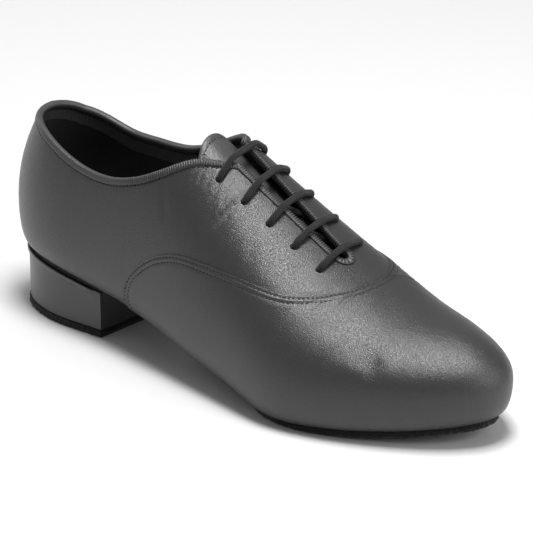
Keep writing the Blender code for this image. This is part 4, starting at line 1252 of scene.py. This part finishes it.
for turn in (PLAIT_TURN, -PLAIT_TURN):
    lay = new_node(lace_tree, "Mapping", {"Vector": lace_uv, "Rotation": (0, 0, turn)})
    plait = new_node(lace_tree, "TexWave", {"Vector": lay.outputs["Vector"], "Scale": PLAIT_SCALE})
    plaits.append(plait.outputs["Fac"])
raise_surface(lace_tree, lace_surface, new_math(lace_tree, "MULTIPLY", *plaits), 0.0003)
lace = new_piece("lace_cord", lace_mesh, lace_finish)
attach(lace, "root")
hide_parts("laces")

# The insole: a board covered with a suede sock, glued in on the upper's turned-in margin. It is
# seen through the collar.
INSOLE_THICKNESS = 0.0022
INSOLE_INSET = 0.0020
INSOLE_RIBS = 150
SOCK_COLOR = (0.016, 0.016, 0.0165)


def plate(shares, reach, inset, top, bottom, edge, across):
    """Rows around a plate between two heights, from the heel's back to where it ends."""
    rows = []
    for share in shares:
        lines = {}
        for side in (OUTER, INNER):
            place = share * reach[side]
            r = rib(np.array(side), np.array(place))
            line = []
            for down, out in edge(share):
                inward = inset(side, r) - out
                x, y = float(r.foot_x - r.out_x * inward), float(r.foot_y - r.out_y * inward)
                line.append(np.array((x, y, top(x) + (bottom(x) - top(x)) * down)))
            lines[side] = line
        row = []
        for height, end, order in ((top, 0, (OUTER, INNER)), (bottom, -1, (INNER, OUTER))):
            start, stop = (lines[side][end] for side in order)
            for step in np.linspace(0, 1, across + 1):
                point = start + (stop - start) * step
                row.append((point[0], point[1], height(point[0])))
            row += lines[order[1]][1:-1] if end == 0 else lines[order[1]][-2:0:-1]
        rows.append([*row, row[0]])
    return np.array(rows, float)


def plate_piece(name, rows, *materials):
    """The closed plate of these rows, as a piece."""
    mesh = moved_grid(rows)
    join_doubles(mesh)
    bmesh.ops.holes_fill(mesh, edges=[e for e in mesh.edges if e.is_boundary])
    bmesh.ops.recalc_face_normals(mesh, faces=mesh.faces)
    return new_piece(name, mesh, *materials)


def round_ended(count):
    """Shares from 0 to 1 that lie closer together at both ends."""
    return (1 - np.cos(np.linspace(0, math.pi, count))) / 2


WHOLE_LENGTH = {OUTER: 1.0, INNER: 1.0}
INSOLE_EDGE = ((0, -0.0004), (0.15, 0.0), (1, 0.0))
insole_rows = plate(
    shares=round_ended(INSOLE_RIBS),
    reach=WHOLE_LENGTH,
    inset=lambda side, r: float(r.tuck) + INSOLE_INSET,
    top=lambda x: float(bottom_z(x)) + UPPER_WALL + CLEARANCE + INSOLE_THICKNESS,
    bottom=lambda x: float(bottom_z(x)) + UPPER_WALL + CLEARANCE,
    edge=lambda share: INSOLE_EDGE,
    across=10,
)
sock_suede = suede_finish("sock suede", SOCK_COLOR, nap_scale=800.0, nap_depth=0.0004, sheen=0.3)
insole = plate_piece("insole_sock", insole_rows, sock_suede)
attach(insole, "root")
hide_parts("insole")

# The outsole: black suede split, thin on top of the heel, drawn in under the waist, its cut edge
# furry. The foot's weight presses it flat under the ball.
SOLE_INSET = 0.0004
SOLE_EDGE_ROUND = 0.0006
SOLE_WAIST_DRAW = 0.0045
SOLE_WAIST_END = 0.182
TREAD_FLAT = 0.0005
HEEL_LENGTH = 0.070
SOLE_RIBS = 420
SOLE_FUR = 0.0007
FUR_SCALE = 900
FUR_SHIFT = Vector((7, 3, 1))
SOLE_COLOR = (0.0075, 0.0075, 0.0075)


def sole_top(x):
    return float(bottom_z(x)) - CLEARANCE


def sole_bottom(x):
    share = min(max((x + LENGTH / 2 - HEEL_LENGTH) / HEEL_LENGTH, 0), 1)
    thick = SEAT_THICKNESS + (SOLE_THICKNESS - SEAT_THICKNESS) * share * share * (3 - 2 * share)
    return max(sole_top(x) - thick - TREAD_FLAT, 0.0)


def sole_draw(side, r):
    share = (float(r.foot_x) + LENGTH / 2 - HEEL_LENGTH) / (SOLE_WAIST_END - HEEL_LENGTH)
    return float(r.tuck) + SOLE_INSET + SOLE_WAIST_DRAW * math.sin(math.pi * min(max(share, 0), 1))


def furred(rows, depth):
    """Shift the points of a cut suede edge a little in and out."""
    for row in rows:
        for point in row:
            spot = Vector(point) * FUR_SCALE
            point[:2] += np.array([noise.noise(spot), noise.noise(spot + FUR_SHIFT)]) * depth
    return rows


# From the sole's top edge to its bottom edge: how far down, and how far out.
SOLE_EDGE = (
    (0.0, 0.0),
    (0.2, SOLE_EDGE_ROUND * 0.5),
    (0.45, SOLE_EDGE_ROUND * 0.7),
    (0.7, SOLE_EDGE_ROUND * 0.6),
    (0.9, 0.0),
    (1.0, -SOLE_EDGE_ROUND),
)
sole_rows = plate(
    shares=round_ended(SOLE_RIBS),
    reach=WHOLE_LENGTH,
    inset=sole_draw,
    top=sole_top,
    bottom=sole_bottom,
    edge=lambda share: SOLE_EDGE,
    across=8,
)
sole_suede = suede_finish("sole suede", SOLE_COLOR, nap_scale=1400.0, nap_depth=0.0006, sheen=0.15)
outsole = plate_piece("outsole_suede", furred(sole_rows, SOLE_FUR), sole_suede)
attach(outsole, "root")
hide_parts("outsole")

# The heel: a low block covered in smooth leather, with a raised wedge of the cover along its top
# that stops short of the front corner. It is fixed under the thin back of the sole.
HEEL_RIM = 0.0004
HEEL_TAPER = 0.0002
HEEL_BAND_HEIGHT = 0.0030
HEEL_BAND_STEP = 0.0009
HEEL_BAND_SETBACK = 0.0050
HEEL_RIBS = 90
HEEL_EASE = 1.4
HEEL_CORNER = 0.0003
HEEL_ROUNDING = 0.0005
BREAST_NEAREST = 0.1
BREAST_FARTHEST = 0.4
TIP_THICKNESS = 0.0036
HEEL_COLOR = (0.030, 0.030, 0.0305)


def breast_place(side):
    """The place of this side at which the heel's front face is."""

    def ahead(place):
        r = rib(np.full(1, side), place)
        return r.foot_x - r.out_x * r.tuck + LENGTH / 2 - HEEL_LENGTH

    return float(solve(np.full(1, BREAST_NEAREST), np.full(1, BREAST_FARTHEST), ahead)[0])


heel_reach = {side: breast_place(side) for side in (OUTER, INNER)}
heel_run = min(heel_reach.values()) * PERIMETER
band_end = 1 - HEEL_BAND_SETBACK / heel_run
block_height = HEEL_HEIGHT - TIP_THICKNESS


def heel_edge(share):
    """How far each level of the block's side stands out."""
    band = HEEL_BAND_STEP if share <= band_end else 0.0
    low = HEEL_BAND_HEIGHT * (0.5 + 0.5 * share) / block_height
    step = HEEL_BAND_STEP / block_height
    return (
        (0.0, HEEL_RIM + band - HEEL_CORNER),
        (0.012, HEEL_RIM + band),
        (low - step / 2, HEEL_RIM + band),
        (low, HEEL_RIM + band * 0.8),
        (low + step, HEEL_RIM),
        (0.35, HEEL_RIM - 0.35 * HEEL_TAPER),
        (0.6, HEEL_RIM - 0.6 * HEEL_TAPER),
        (0.985, HEEL_RIM - HEEL_TAPER),
        (1.0, HEEL_RIM - HEEL_TAPER - HEEL_CORNER),
    )


back_shares = np.linspace(0, 1, HEEL_RIBS) ** HEEL_EASE
heel_shares = [share for share in back_shares if abs(share - band_end) > 0.004 and share < 0.992]
heel_shares = sorted([*heel_shares, band_end, band_end + HEEL_BAND_STEP / heel_run, 0.994, 1.0])
heel_rows = plate(
    shares=heel_shares,
    reach=heel_reach,
    inset=lambda side, r: float(r.tuck),
    top=lambda x: sole_bottom(x) - CLEARANCE,
    bottom=lambda x: TIP_THICKNESS + CLEARANCE,
    edge=heel_edge,
    across=6,
)
heel_leather = leather_finish(
    "heel leather", HEEL_COLOR, roughness=0.36, grain_scale=1500.0, grain_depth=0.00005, patch=0.03
)
heel = plate_piece("heel_block", heel_rows, heel_leather)
heel_round = heel.modifiers.new("rounded corners", "BEVEL")
heel_round.width = HEEL_ROUNDING
heel_round.segments = 3
heel_round.limit_method = "ANGLE"
heel_round.angle_limit = math.radians(50)
settle(heel)
heel.data.set_sharp_from_angle(angle=math.radians(35))
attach(heel, "root")
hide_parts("heel")

# The top piece: a thick lift of the sole's suede, nailed and glued under the heel block, which it
# stands a little proud of. It is what the heel stands on.
TIP_LEDGE = 0.0004
TIP_RIBS = 150
TIP_EASE = 1.2
tip_out = HEEL_RIM - HEEL_TAPER + TIP_LEDGE
tip_edge = (
    (0, tip_out - 0.0002),
    (0.15, tip_out),
    (0.5, tip_out),
    (0.85, tip_out),
    (1, tip_out - 0.0006),
)
tip_rows = plate(
    shares=np.linspace(0, 1, TIP_RIBS) ** TIP_EASE,
    reach=heel_reach,
    inset=lambda side, r: float(r.tuck),
    top=lambda x: TIP_THICKNESS,
    bottom=lambda x: 0.0,
    edge=lambda share: tip_edge,
    across=8,
)
heel_tip = plate_piece("heel_top_piece", furred(tip_rows, SOLE_FUR), sole_suede)
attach(heel_tip, "root")
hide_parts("heel_tip")
